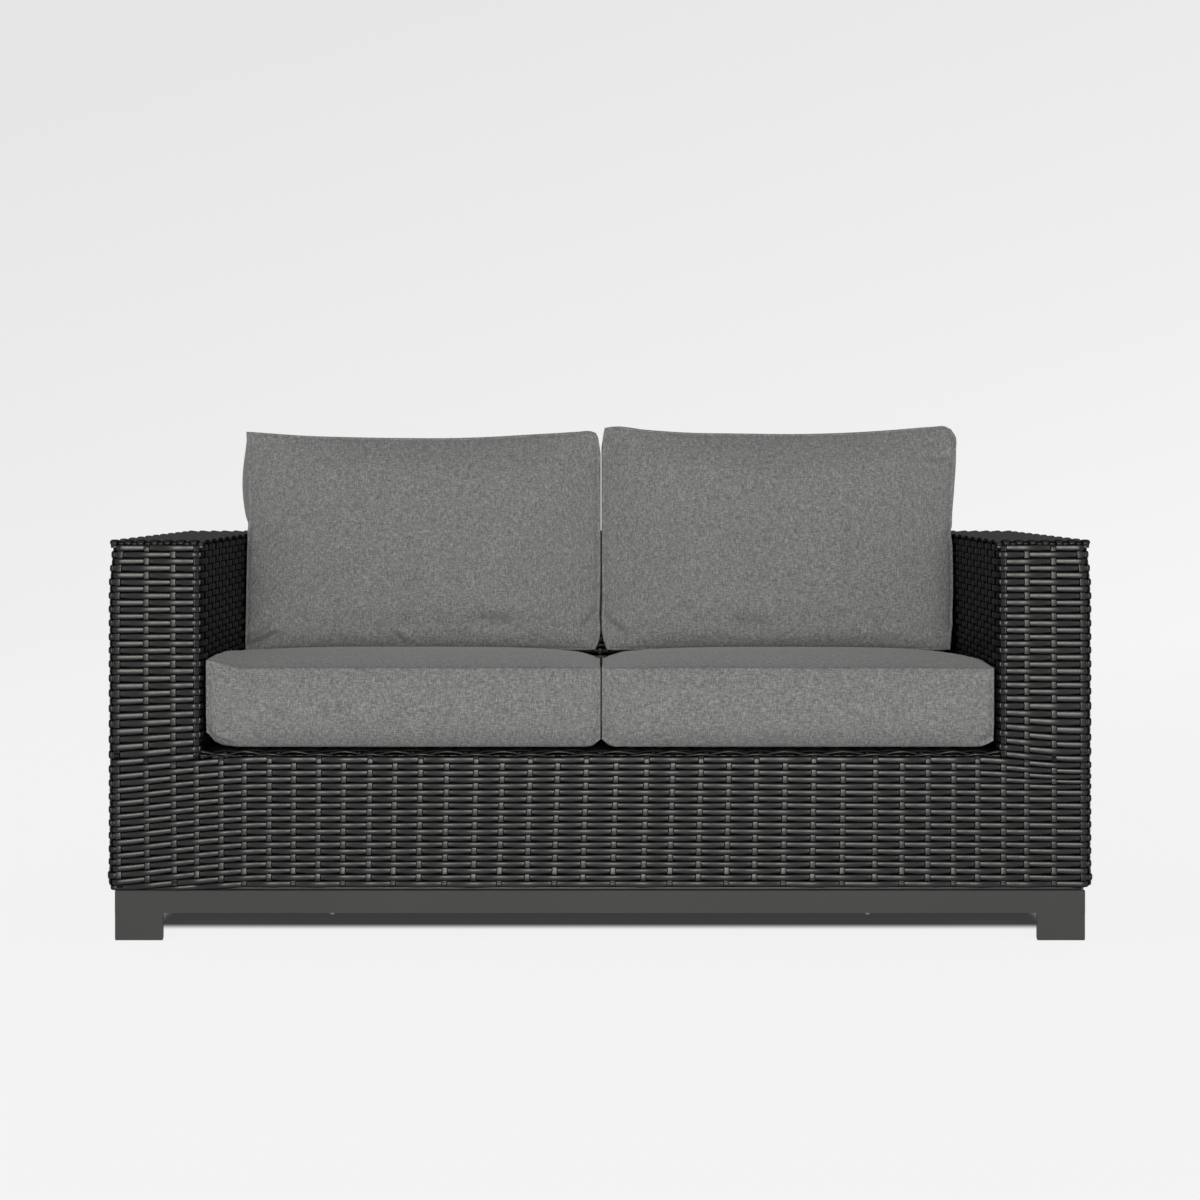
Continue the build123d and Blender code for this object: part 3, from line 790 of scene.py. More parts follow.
def strand_finish():
    """Dark streaked resin: shiny along the dome, dull at its edges, at a glance and on top, with painted
    shade in its colour at the edges.
    """
    material, tree, shader = new_finish("resin_strand", (0.02, 0.02, 0.022), 0.3)
    link = tree.links.new
    place = add_node(tree, "ShaderNodeCombineXYZ")
    for label, scale, socket in streak_scales:
        value = add_node(tree, "ShaderNodeAttribute", attribute_name=label).outputs["Fac"]
        link(compute(tree, "MULTIPLY", value, scale), place.inputs[socket])
        if label == "strand_side":
            off_middle = compute(tree, "ABSOLUTE", value)
    noise = add_node(tree, "ShaderNodeTexNoise", Scale=1.0, Detail=3.0, Roughness=0.6)
    link(place.outputs[0], noise.inputs["Vector"])
    streaks = noise.outputs["Fac"]
    # The random tone of the streaks, times the painted shade of the grooves.
    shade = (ramp(tree, streaks, strand_tones), ramp(tree, off_middle, groove_painted_shade))
    link(compute(tree, "MULTIPLY", *shade, kind="ShaderNodeVectorMath"), shader.inputs["Base Color"])
    link(remap(tree, streaks, (0, 1), (0.27, 0.38)), shader.inputs["Roughness"])
    raise_grain(tree, shader, streaks, 0.25, 0.0003)
    glance = add_node(tree, "ShaderNodeLayerWeight", Blend=0.5)
    surface = add_node(tree, "ShaderNodeNewGeometry")
    normal = fed(tree, add_node(tree, "ShaderNodeSeparateXYZ"), surface.outputs["Normal"])
    dome_gloss = ramp(tree, glance.outputs["Facing"], glance_gloss)
    dome_gloss = compute(tree, "MULTIPLY", dome_gloss, ramp(tree, off_middle, edge_gloss))
    dome_gloss = compute(tree, "MULTIPLY", dome_gloss, ramp(tree, normal.outputs["Z"], top_gloss))
    link(dome_gloss, shader.inputs["Specular IOR Level"])
    shader.inputs["Specular Tint"].default_value = (1.0, 1.0, 0.94, 1)
    return material


strand_material = strand_finish()
print("strand finish has", len(strand_material.node_tree.nodes), "nodes")

# %% [markdown]
# ## Hang the weave on the frame
# Each wall of strands becomes one piece, which is quicker to draw than thousands of small ones. It
# rides on the body of the solid it stands for, which is then hidden. The low rows of the front are
# one piece across both arms and the apron, because they run through without a break.

# %% Make the woven pieces
woven_pieces = {
    "front": "woven_front",
    "arm_front_weave_left": "woven_arm_front_left",
    "arm_front_weave_right": "woven_arm_front_right",
    "arm_outer_weave_left": "woven_side_left",
    "arm_outer_weave_right": "woven_side_right",
    "arm_inner_weave_left": "woven_arm_inner_left",
    "arm_inner_weave_right": "woven_arm_inner_right",
    "back_outer_weave": "woven_back",
    "back_inner_weave": "woven_back_inner",
    "arm_top_weave_left": "woven_cap_left",
    "arm_top_weave_right": "woven_cap_right",
    "back_top_weave": "woven_cap_back",
    "seat_deck_weave": "woven_deck",
}


def add_piece(name, mesh, material, body, nodes):
    """A visible piece that rides on a body and stands for these solids."""
    piece = bpy.data.objects.new(name, mesh)
    bpy.context.scene.collection.objects.link(piece)
    piece.data.materials.append(material)
    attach(piece, body)
    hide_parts(*nodes)
    return piece


for wall, name in woven_pieces.items():
    nodes = ["apron_weave" if wall == "front" else wall]
    woven = add_piece(name, weave_mesh(name, walls[wall]), strand_material, "frame", nodes)
    print(name, len(woven.data.polygons), "faces")

# %% [markdown]
# ## Metal and plastic
# The plinth and the feet are steel under a matt powder coat: a warm grey with a very fine orange
# peel. The tubes inside are aluminium, coated dark so that no bright metal shows through the
# weave. Bolts and nuts are black zinc, and the glides are moulded plastic. These solids already
# have the right shape, so only their material changes. One recipe with different numbers gives
# all four, because each is a plain tone broken up by grain.


# %% Make the hard finishes
def grained(name, color, roughness, metallic, scale, contrast, bump_height):
    """A finish with fine grain in its tone and its surface."""
    material, tree, shader = new_finish(name, color, roughness)
    link = tree.links.new
    place = add_node(tree, "ShaderNodeTexCoord")
    grains = []
    for settings in ({"Scale": scale, "Detail": 3.0}, {"Scale": 7.0, "Detail": 2.0}):
        noise = add_node(tree, "ShaderNodeTexNoise", **settings)
        link(place.outputs["Object"], noise.inputs["Vector"])
        grains.append(noise.outputs["Fac"])
    mean = compute(tree, "MULTIPLY", compute(tree, "ADD", *grains), 0.5)
    dark, light = [tuple(c * (1 + way * contrast) for c in color) for way in (-1, 1)]
    link(ramp(tree, mean, [(0.35, dark), (0.65, light)]), shader.inputs["Base Color"])
    link(remap(tree, grains[0], (0, 1), (roughness - 0.06, roughness + 0.06)), shader.inputs["Roughness"])
    raise_grain(tree, shader, grains[0], 0.3, bump_height)
    shader.inputs["Metallic"].default_value = metallic
    return material


# %% Dress the hard solids
powder_coat = grained("powder_coat", (gray(51), gray(52), gray(50)), 0.58, 0.0, 900, 0.10, 0.0002)
powder_coat.node_tree.nodes["Principled BSDF"].inputs["Specular IOR Level"].default_value = 0.3
dark_tube = grained("coated_tube", (gray(30), gray(31), gray(33)), 0.5, 0.0, 700, 0.10, 0.0002)
zinc = grained("zinc_plate", (0.10, 0.10, 0.11), 0.5, 1.0, 400, 0.12, 0.0001)
glide_plastic = grained("glide_plastic", (gray(24), gray(24), gray(25)), 0.6, 0.0, 500, 0.15, 0.0002)
hard_finishes = {"plinth": powder_coat, "foot": powder_coat, "glide": glide_plastic}
hard_finishes.update({"frame_bolts": zinc, "weld_nuts": zinc})
tube_names = (
    "frame_bottom", "arm_posts", "back_posts", "arm_top_tubes", "arm_cross", "back_top_tubes",
    "seat_front", "seat_rear", "seat_side", "deck_bearers",
)
hard_finishes.update(dict.fromkeys(tube_names, dark_tube))
dressed = 0
for node_name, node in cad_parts.items():
    for start, finish in hard_finishes.items():
        if node_name.startswith(start):
            node.data.materials.clear()
            node.data.materials.append(finish)
            dressed += 1
print("solids dressed", dressed)

# %% [markdown]
# ## The cushions
# A box cushion is two panels joined by a band, the boxing, with a seam along each edge. Foam or
# fibre pushes the panels out, and the seams hold them back, so the panels crown and the corners
# stand out as small points. A rounded box would miss all of that. Each cover starts as a closed
# lattice, drawn from the edges of its panels, and is finer near its seams. Cloth with air pressure
# then fills it, held at the seams.


# %% Make a closed lattice for a cover
def shares(count, gather):
    """Places from -1 to 1, closer together near the ends."""
    even = np.linspace(-1, 1, count + 1)
    return np.sign(even) * (1 - (1 - np.abs(even)) ** gather)


lattice_gather = 1.35


def cover_lattice(counts):
    """Shares of a closed box lattice and its quads."""
    stations = [shares(c, lattice_gather) for c in counts]
    index, places, quads = {}, [], []

    def point(i, j, k):
        if (i, j, k) not in index:
            index[(i, j, k)] = len(places)
            places.append((stations[0][i], stations[1][j], stations[2][k]))
        return index[(i, j, k)]

    nx, ny, nz = counts
    for i in range(nx):
        for j in range(ny):
            quads.append((point(i, j, 0), point(i, j + 1, 0), point(i + 1, j + 1, 0), point(i + 1, j, 0)))
            quads.append((point(i, j, nz), point(i + 1, j, nz), point(i + 1, j + 1, nz), point(i, j + 1, nz)))
    for i in range(nx):
        for k in range(nz):
            quads.append((point(i, 0, k), point(i + 1, 0, k), point(i + 1, 0, k + 1), point(i, 0, k + 1)))
            quads.append((point(i, ny, k), point(i, ny, k + 1), point(i + 1, ny, k + 1), point(i + 1, ny, k)))
    for j in range(ny):
        for k in range(nz):
            quads.append((point(0, j, k), point(0, j, k + 1), point(0, j + 1, k + 1), point(0, j + 1, k)))
            quads.append((point(nx, j, k), point(nx, j + 1, k), point(nx, j + 1, k + 1), point(nx, j, k + 1)))
    return np.array(places), quads


print("points of a small lattice", len(cover_lattice((4, 4, 2))[0]))


# %% Crown a panel and draw its edges
def fullness(share, power, root):
    """1 in the middle of a panel and 0 at its seams."""
    return np.clip(1 - np.abs(share) ** power, 0, 1) ** root


def shifted(share, middle):
    """Moves the middle of a panel's crown towards one seam, and keeps both seams in place."""
    return (share - middle) / (1 - middle * share)


def edge_line(knots, share):
    """A smooth line through knots of a share and millimetres."""
    places, values = np.array(knots, float).T
    slopes = np.gradient(values, places)
    index = np.clip(np.searchsorted(places, share) - 1, 0, len(places) - 2)
    span = places[index + 1] - places[index]
    t = (share - places[index]) / span
    near = values[index] * (1 + 2 * t) * (1 - t) ** 2 + slopes[index] * span * t * (1 - t) ** 2
    far = values[index + 1] * t**2 * (3 - 2 * t) + slopes[index + 1] * span * t**2 * (t - 1)
    return (near + far) * mm


# %% [markdown]
# ## Shape the seat covers
# The seat cushions are alike, but they lie differently. The left one is full up to the arm and
# its lower front corner is tucked up. The right one slopes down towards its arm. Where they meet,
# and under the back cushions, they are pressed flat. One form turned round would make both alike,
# so each has numbers of its own, in millimetres.

# %% Draw the seat covers
seat_low, seat_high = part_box("seat_cover_right")
toe_y, toe_z, heel_drop = 94.4 * mm, 0.4550, 12.9 * mm
meeting_x = 2 * mm
seat_lie = {
    "left": {
        "outer_lift": [(0, 13), (0.06, 15.5), (0.136, 16), (0.2, 12.5), (0.35, 6), (0.53, 4), (0.72, 0)],
        "outer_root": 0.68,
        "foot_lift": (24, 52),
    },
    "right": {
        "outer_lift": [(0, 0), (0.135, 4.6), (0.35, -1), (0.55, -3), (0.72, -4)],
        "outer_root": 1.05,
        "foot_lift": (10, 26),
    },
}
seat_crown, crest_depth, toe_depth = 18.5 * mm, 0.19, 0.534
inner_foot = (13, 24)


def sole_line(y):
    """Height of the sole of a back cushion at a depth."""
    return toe_z - heel_drop * (y - toe_y) / (148 * mm)


def seat_shape(lattice, side):
    """Places of a seat cover: panels crowned, the boxing bulged and the sole flat on the deck."""
    lie = seat_lie[side]
    sign = -1 if side == "left" else 1
    a, b, c = lattice.T
    outward = a * sign
    outer_x, inner_x = seat_high.x - 1.2 * mm, (meeting_x * sign + 0.8 * mm)
    half_w = (outer_x - inner_x) / 2
    seam_front, seam_rear = seat_low.y + 8.5 * mm, seat_high.y - 4 * mm
    half_d = (seam_rear - seam_front) / 2
    depth = (b + 1) * half_d
    top_seam = seat_low.z + 136 * mm - 14 * mm * ease(0.35, 0.71, depth)
    top_seam = top_seam + edge_line(lie["outer_lift"], depth) * ease(0.80, 1.0, outward)
    top_seam = top_seam - 11 * mm * ease(0.86, 1.0, -outward) * ease(0.22, 0.50, depth)
    foot_seam = seat_low.z + 4 * mm
    corner_depth = 0.5 + 0.5 * np.abs(b) ** 6
    for (lift, width), share in ((lie["foot_lift"], outward), (inner_foot, -outward)):
        near = np.clip(1 - (1 - share) * half_w / (width * mm), 0, 1)
        foot_seam = foot_seam + lift * mm * near**1.7 * corner_depth
    rise = (c + 1) / 2
    boxing = 1 - c**2
    x = a * half_w
    side_drawn = 2.2 * mm * fullness(b, 4, 0.7) * (1 - boxing**0.6)
    x = x - np.sign(a) * side_drawn * ease(0.9, 1.0, np.abs(a))
    x = sign * (x * sign + (outer_x + inner_x) / 2)
    y = (seam_front + seam_rear) / 2 + b * half_d
    y = y + 4.5 * mm * fullness(a, 4, 0.7) * ease(0.85, 1.0, -b)
    z = foot_seam + rise * (top_seam - foot_seam)
    on_top, on_sole = c > 1 - 1e-9, c < -1 + 1e-9
    side_root = np.where(outward > 0, lie["outer_root"], 0.70)
    rising = np.sin(math.pi / 2 * np.clip(depth / crest_depth, 0, 1)) ** 0.75
    falling = 1 - 0.95 * np.clip((depth - crest_depth) / (toe_depth - crest_depth), 0, 1) ** 1.15
    crown = fullness(a, 5, side_root) * rising * falling * fullness(b, 20, 0.5)
    z = np.where(on_top, z + seat_crown * crown, z)
    sole = fullness(a, 12, 0.5) * fullness(b, 12, 0.5)
    z = np.where(on_sole, z + (seat_low.z - z) * sole, z)
    front, rear = b < -1 + 1e-9, b > 1 - 1e-9
    y = np.where(front, y - 13.5 * mm * boxing ** np.where(c < 0, 0.5, 0.7) * fullness(a, 8, 0.5), y)
    y = y + 7 * mm * ease(-0.5, -1.0, c) * ease(0.8, 1.0, -b)
    y = np.where(rear, y + 3 * mm * boxing * fullness(a, 6, 0.5), y)
    return np.column_stack([x, y, z])


def seat_limits(places, side):
    """Keeps a seat cover on the deck, between its neighbours and under the back cushion."""
    sign = -1 if side == "left" else 1
    x, y, z = places.T
    outer = np.minimum(x * sign, seat_high.x)
    x = np.maximum(outer, meeting_x * sign + 0.5 * mm) * sign
    y = np.clip(y, seat_low.y - 4 * mm, seat_high.y + 2 * mm)
    under = sole_line(y) - 0.8 * mm
    pressed = ease(toe_y - 0.13, toe_y + 0.005, y)
    z = np.where(z > under, z + (under - z) * pressed, z)
    return np.column_stack([x, y, np.maximum(z, seat_low.z)])


# %% [markdown]
# ## Shape the back covers
# The back cushions are filled with fibre, so they are softer and each has its own outline. The
# edges below are read from the photograph, in millimetres: the left and right edges upwards from
# the seat, and the top edge from left to right. Above the arm the left one bulges past its seam.

# %% Draw the back covers
back_lean = math.radians(8)
back_boxing_depth = 148 * mm
back_edges = {
    "left": {
        "west": [
            (-1, -663.5), (-0.6, -664), (0.0, -662.8), (0.1, -661.6), (0.55, -662.5), (0.85, -666),
            (1, -669),
        ],
        "east": [(-1, -10), (-0.92, -3.5), (-0.6, -1.2), (0.6, -1.2), (0.88, -1.8), (0.97, -5), (1, -8)],
        "top": [
            (-1, 413), (-0.64, 404), (-0.4, 401.5), (-0.13, 400), (0.2, 400), (0.41, 402.5), (0.61, 406.5),
            (0.81, 410.5), (0.9, 412.5), (0.975, 413.5), (1, 410.5),
        ],
        "bulge": (21, 4),
        "crown": 47,
        "middle": 0.06,
    },
    "right": {
        "west": [(-1, 14), (-0.9, 7), (-0.5, 5.2), (0.6, 5.2), (0.9, 5.6), (1, 9)],
        "east": [
            (-1, 655), (-0.6, 661), (-0.1, 662.5), (0.05, 662), (0.5, 666.5), (0.82, 672.5),
            (0.93, 672.5), (1, 664),
        ],
        "top": [
            (-1, 420.5), (-0.95, 422.5), (-0.766, 416.2), (-0.568, 411.2), (-0.2, 408.5), (0.172, 407.8),
            (0.45, 411), (0.641, 415), (0.9, 422), (0.965, 423), (1, 417.5),
        ],
        "bulge": (4, 9),
        "crown": 48,
        "middle": 0.0,
    },
}


def back_shape(lattice, side):
    """Places of a back cover: it leans, its front crowns most and its sole follows the seat."""
    edges = back_edges[side]
    a, b, c = lattice.T
    west, east = edge_line(edges["west"], c), edge_line(edges["east"], c)
    x = (west + east) / 2 + a * (east - west) / 2
    depth = (b + 1) / 2 * back_boxing_depth
    foot = 7.8 * mm * (b + 1) / 2
    rise = foot + (c + 1) / 2 * (edge_line(edges["top"], a) - foot)
    front, rear = b < -1 + 1e-9, b > 1 - 1e-9
    slope_down = np.sin(math.pi / 2 * np.clip((1 - c) / 0.46, 0, 1))
    roll_under = np.sin(math.pi / 2 * np.clip((1 + c) / 0.42, 0, 1)) ** 0.75
    crown = fullness(shifted(a, edges["middle"]), 2.6, 0.82) * slope_down * roll_under
    depth = np.where(front, depth - edges["crown"] * mm * crown, depth)
    depth = np.where(rear, depth + 10 * mm * fullness(a, 3, 0.6) * fullness(c, 3, 0.6), depth)
    boxing = np.clip(1 - b**2, 0, 1)
    free = np.sin(math.pi * np.clip((c - 0.06) / 0.94, 0, 1)) ** 0.8
    for edge_sign, bulge in zip((-1, 1), edges["bulge"]):
        swell = 1.5 * fullness(c, 6, 0.6) + (bulge - 1.5) * free
        x = np.where(a * edge_sign > 1 - 1e-9, x + edge_sign * mm * swell * boxing**0.9, x)
    on_top = c > 1 - 1e-9
    rise = np.where(on_top, rise + 7 * mm * boxing**0.6 * fullness(a, 6, 0.6), rise)
    y = toe_y + depth * math.cos(back_lean) + rise * math.sin(back_lean)
    z = toe_z - depth * math.sin(back_lean) + rise * math.cos(back_lean)
    return np.column_stack([x, y, z])


def back_limits(places, side):
    """Keeps a back cover off the arm, its neighbour, the wall behind it and the seat."""
    sign = -1 if side == "left" else 1
    x, y, z = places.T
    beside_arm = ease(cap_z + 0.030, cap_z + 0.003, z)
    outer = x * sign
    outer = np.where(outer > seat_high.x, outer + (seat_high.x - outer) * beside_arm, outer)
    x = np.maximum(outer, meeting_x * sign + 0.7 * mm) * sign
    y = np.where(z < cap_z + 0.01, np.minimum(y, inner_y - 3 * mm), y)
    return np.column_stack([x, y, np.maximum(z, sole_line(y))])


# %% [markdown]
# ## Folds from use
# Fabric that is pushed sideways makes short diagonal folds near its seams. They could be sculpted
# with a brush, but a fold that is written down can be moved and made again. Each is a line on the
# panel: one side of it rises, the other sinks, and both ends fade. A dent is a wide, shallow
# hollow. They are pressed in after the cover is filled.


# %% Press folds and dents into a panel
fold_boldness = 1.7


def fold(flat, start, end, width, height):
    """Rise of a soft fold along a line on a panel, in millimetres, with faded ends."""
    start, end = np.array(start, float), np.array(end, float)
    length = np.linalg.norm(end - start)
    along = (end - start) / length
    run = (flat - start) @ along / length
    aside = (flat - start) @ np.array([-along[1], along[0]]) / width
    fade = ease(0.0, 0.35, run) * ease(1.0, 0.65, run)
    return fold_boldness * height * aside * np.exp((1 - aside**2) / 2) * fade


def dent(flat, middle, size, height):
    """Rise of a wide hollow, or a hump where the height is above zero."""
    off = (flat - np.array(middle, float)) / np.array(size, float)
    return height * np.exp(-(off**2).sum(1))


fold_base = {"back": 0.4745, "seat": 0.3196}
back_folds = {
    "left": [
        (fold, (-664, 330), (-622, 366), 6, 2.4), (fold, (-664, 300), (-634, 335), 6, 1.8),
        (fold, (-664, 176), (-596, 228), 9, 3.4), (fold, (-664, 150), (-560, 204), 11, 2.6),
        (fold, (-668, -14), (-588, 24), 7, 5.5), (fold, (-664, 12), (-612, 44), 8, 2.2),
        (dent, (-300, 30), (150, 26), -5), (dent, (-120, 24), (90, 24), -4),
        (fold, (-386, 22), (-356, -10), 6, 3.0), (fold, (-236, 52), (-150, 36), 14, 2.4),
        (fold, (-40, 20), (-4, 64), 8, 2.6), (dent, (-560, 120), (80, 90), 3),
    ],
    "right": [
        (fold, (664, 340), (606, 336), 4, 2.4), (fold, (592, 366), (664, 396), 5, 2.6),
        (fold, (6, 46), (60, 10), 10, 3.4), (fold, (8, 380), (52, 330), 9, 2.6),
        (dent, (330, 40), (170, 26), -4), (dent, (520, 46), (90, 26), -3.5),
        (fold, (230, 46), (340, 30), 15, 2.2), (fold, (600, 46), (660, 10), 10, 3.0),
        (fold, (640, 190), (664, 214), 8, 2.0),
    ],
}
seat_folds = {
    "left": [(fold, (-664, 28), (-612, 6), 7, 3.6), (fold, (-650, 118), (-560, 132), 9, 1.2)],
    "right": [(fold, (664, 16), (640, 4), 5, 2.0), (fold, (560, 126), (655, 122), 8, 1.6)],
}


print("folds and dents", sum(len(folds) for kind in (back_folds, seat_folds) for folds in kind.values()))


# %% Turn a lattice into a mesh
def cover_mesh(name, counts, shape, side):
    """The lattice of a cover as a mesh, with its seams."""
    lattice, quads = cover_lattice(counts)
    mesh = bpy.data.meshes.new(name)
    mesh.from_pydata(shape(lattice, side).tolist(), [], quads)
    mesh.update()
    seams = (np.abs(np.abs(lattice) - 1) < 1e-9).sum(1) >= 2
    return mesh, lattice, seams


def read_places(mesh, kind="vertices", value="co"):
    """Places or normals of a mesh's points."""
    rows = getattr(mesh, kind)
    places = np.empty(len(rows) * 3, np.float32)
    rows.foreach_get(value, places)
    return places.reshape(-1, 3).astype(float)


def write_places(mesh, places):
    """Moves a mesh's points to these places."""
    mesh.vertices.foreach_set("co", places.astype(np.float32).ravel())
    mesh.update()


# %% Fill a cover with air pressure
def puff(mesh, held, pressure, cap, frames=16):
    """Inflates a cover with cloth pressure, holds its seams, and caps how far any point moves."""
    rest = read_places(mesh)
    work = bpy.data.objects.new("cover_work", mesh)
    bpy.context.scene.collection.objects.link(work)
    group = work.vertex_groups.new(name="seam")
    for index in np.nonzero(held)[0]:
        group.add([int(index)], 1.0, "REPLACE")
    cloth = work.modifiers.new("air", "CLOTH")
    settings = cloth.settings
    settings.quality = 5
    settings.mass = 0.3
    settings.tension_stiffness = settings.compression_stiffness = 18
    settings.shear_stiffness = 8
    settings.bending_stiffness = 0.4
    settings.vertex_group_mass = "seam"
    settings.pin_stiffness = 0.6
    settings.use_pressure = True
    settings.uniform_pressure_force = pressure
    settings.effector_weights.gravity = 0
    cloth.collision_settings.use_collision = False
    cloth.point_cache.frame_start, cloth.point_cache.frame_end = 1, frames
    scene = bpy.context.scene
    for step in range(1, frames + 1):
        scene.frame_set(step)
    settled = work.evaluated_get(bpy.context.evaluated_depsgraph_get())
    moved = read_places(settled.data) - rest
    scene.frame_set(1)
    bpy.data.objects.remove(work)
    length = np.linalg.norm(moved, axis=1)
    print("filled, furthest point moved", round(float(length.max()) / mm, 1), "mm")
    return moved * np.minimum(1, cap / np.maximum(length, 1e-9))[:, None]


# %% [markdown]
# ## The cover fabric
# The covers are woven from grey yarns of several tones, so the cloth looks heathered close by and
# even from far. A picture of cloth would need each cover laid out flat without a visible join.
# Squeezed noise needs neither: one set of threads runs across and one set down, and the same
# pattern raises the surface a little.


# %% Make the cover fabric
yarn_scales = ((1300, 290, 290), (290, 1300, 1300))
yarn_tones = [
    (0.36, (gray(94), gray(95), gray(94))),
    (0.5, (gray(123), gray(124), gray(123))),
    (0.64, (gray(153), gray(154), gray(153))),
]


def fabric_finish():
    """Heathered cloth: two sets of threads, mixed in tone and in height."""
    material, tree, shader = new_finish("cover_fabric", (gray(118), gray(118), gray(116)), 0.9)
    link = tree.links.new
    place = add_node(tree, "ShaderNodeTexCoord")
    threads = []
    for scale in yarn_scales:
        squeeze = add_node(tree, "ShaderNodeMapping", Scale=scale)
        link(place.outputs["Object"], squeeze.inputs["Vector"])
        noise = add_node(tree, "ShaderNodeTexNoise", Scale=0.45, Detail=2.0, Roughness=0.6)
        link(squeeze.outputs[0], noise.inputs["Vector"])
        threads.append(noise.outputs["Fac"])
    heather = compute(tree, "MULTIPLY", compute(tree, "ADD", *threads), 0.5)
    link(ramp(tree, heather, yarn_tones), shader.inputs["Base Color"])
    raise_grain(tree, shader, heather, 0.35, 0.0006)
    shader.inputs["Sheen Weight"].default_value = 0.2
    shader.inputs["Sheen Roughness"].default_value = 0.5
    shader.inputs["Specular IOR Level"].default_value = 0.2
    return material


cover_fabric = fabric_finish()
print("cover fabric has", len(cover_fabric.node_tree.nodes), "nodes")

# %% [markdown]
# ## Put the cushions in place
# A fine cover takes minutes to fill, so a coarse copy of it is filled instead, and three tenths of
# its moves are carried over, which is how tight these cushions look. Then come the folds on the
# front panel and the seams: a stitched seam stands up as a thin ridge with a shallow groove on
# each side. Every cover is then kept clear of its neighbours.

# %% Carry the filling over and raise the seams
filled_share, air_pressure = 0.3, 4.0


def carried(moved, work_lattice, work_counts, lattice):
    """Moves of a coarse cover, read at the places of the fine one."""
    stations = [shares(count, lattice_gather) for count in work_counts]
    grid = np.zeros([count + 1 for count in work_counts] + [3])
    grid[tuple(np.searchsorted(s, along - 1e-9) for s, along in zip(stations, work_lattice.T))] = moved
    cells, parts = [], []
    for station, along in zip(stations, lattice.T):
        cell = np.clip(np.searchsorted(station, along, "right") - 1, 0, len(station) - 2)
        cells.append(cell)
        parts.append((along - station[cell]) / (station[cell + 1] - station[cell]))
    total = np.zeros((len(lattice), 3))
    for corner in itertools.product((0, 1), repeat=3):
        weight = np.prod([part if far else 1 - part for part, far in zip(parts, corner)], axis=0)
        total += weight[:, None] * grid[tuple(cell + far for cell, far in zip(cells, corner))]
    return total


def seam_relief(lattice):
    """A thin ridge on the seams, with a groove where the panels start beside it."""
    from_seam = 1 - np.sort(np.abs(lattice), axis=1)[:, 1]
    groove = np.exp(-(((from_seam - 0.011) / 0.010) ** 2)) * (from_seam > 1e-6)
    return 1.5 * mm * (from_seam < 1e-6) - 2.0 * mm * groove


# %% Make the four cushions
def make_cushion(name, counts, work_counts, shape, limits, side, folds, cap, body, nodes):
    """One filled, folded and seamed cushion, with the most that a point may move while it fills."""
    mesh, lattice, _ = cover_mesh(name, counts, shape, side)
    work, work_lattice, held = cover_mesh(name + "_work", work_counts, shape, side)
    moved = puff(work, held, air_pressure, cap) * filled_share
    write_places(mesh, read_places(mesh) + carried(moved, work_lattice, work_counts, lattice))
    places = read_places(mesh)
    front = lattice[:, 1] < -0.4
    flat = np.column_stack([places[:, 0], places[:, 2] - fold_base[body[:4]]]) / mm
    rise = sum(kind(flat, *rest) for kind, *rest in folds) * mm * fullness(lattice[:, 2], 14, 0.5) * front
    normals = read_places(mesh, "vertex_normals", "vector")
    places = places + normals * (rise + seam_relief(lattice))[:, None]
    write_places(mesh, limits(places, side))
    mesh.polygons.foreach_set("use_smooth", np.ones(len(mesh.polygons), bool))
    mesh.update()
    piece = add_piece(name, mesh, cover_fabric, body, nodes)
    smooth = piece.modifiers.new("smooth", "SUBSURF")
    smooth.levels = smooth.render_levels = 1
    print(name, len(mesh.vertices), "points")


cushion_kinds = {
    "seat": ((108, 72, 24), (60, 48, 14), seat_shape, seat_limits, seat_folds, 22 * mm, "foam", 0.85),
    "back": ((132, 18, 96), (64, 14, 44), back_shape, back_limits, back_folds, 26 * mm, "fill", 0.65),
}
for side, kind in itertools.product(("left", "right"), cushion_kinds):
    counts, work_counts, shape, limits, folds, cap, inside, fill = cushion_kinds[kind]
    make_cushion(
        f"{kind}_cushion_cover_{side}", counts, work_counts, shape, limits, side, folds[side], cap,
        f"{kind}_cushion_{side}", [f"{kind}_cover_{side}", f"{kind}_{inside}_{side}"],
    )

# %% [markdown]
# ## Floor, background and light
# The photograph was taken against seamless white. Stronger lamps would whiten the floor and bleach
# the seat with it. Instead the floor and the background are only painted white, for the rays that
# the camera sees. A round floor fades into the background, so no edge shows from any side. A large
# soft lamp behind the camera gives the bright line along each strand, and the background fills the
# shadows, a little less from above.

# %% Lay the floor
floor_mesh = bpy.data.meshes.new("floor")
floor_radius, rim_count = 9.0, 96
rim_angles = np.linspace(0, 2 * math.pi, rim_count + 1)[:-1]
rim = [(floor_radius * math.cos(a), floor_radius * math.sin(a), 0) for a in rim_angles]
floor_mesh.from_pydata(rim, [], [range(rim_count)])
floor = bpy.data.objects.new("floor", floor_mesh)
bpy.context.scene.collection.objects.link(floor)


# Painted shadow: inside this soft rectangle under the seat, the floor's camera glow falls to a dark grey.
shadow_middle, shadow_half = 0.09, (0.76, 0.35)


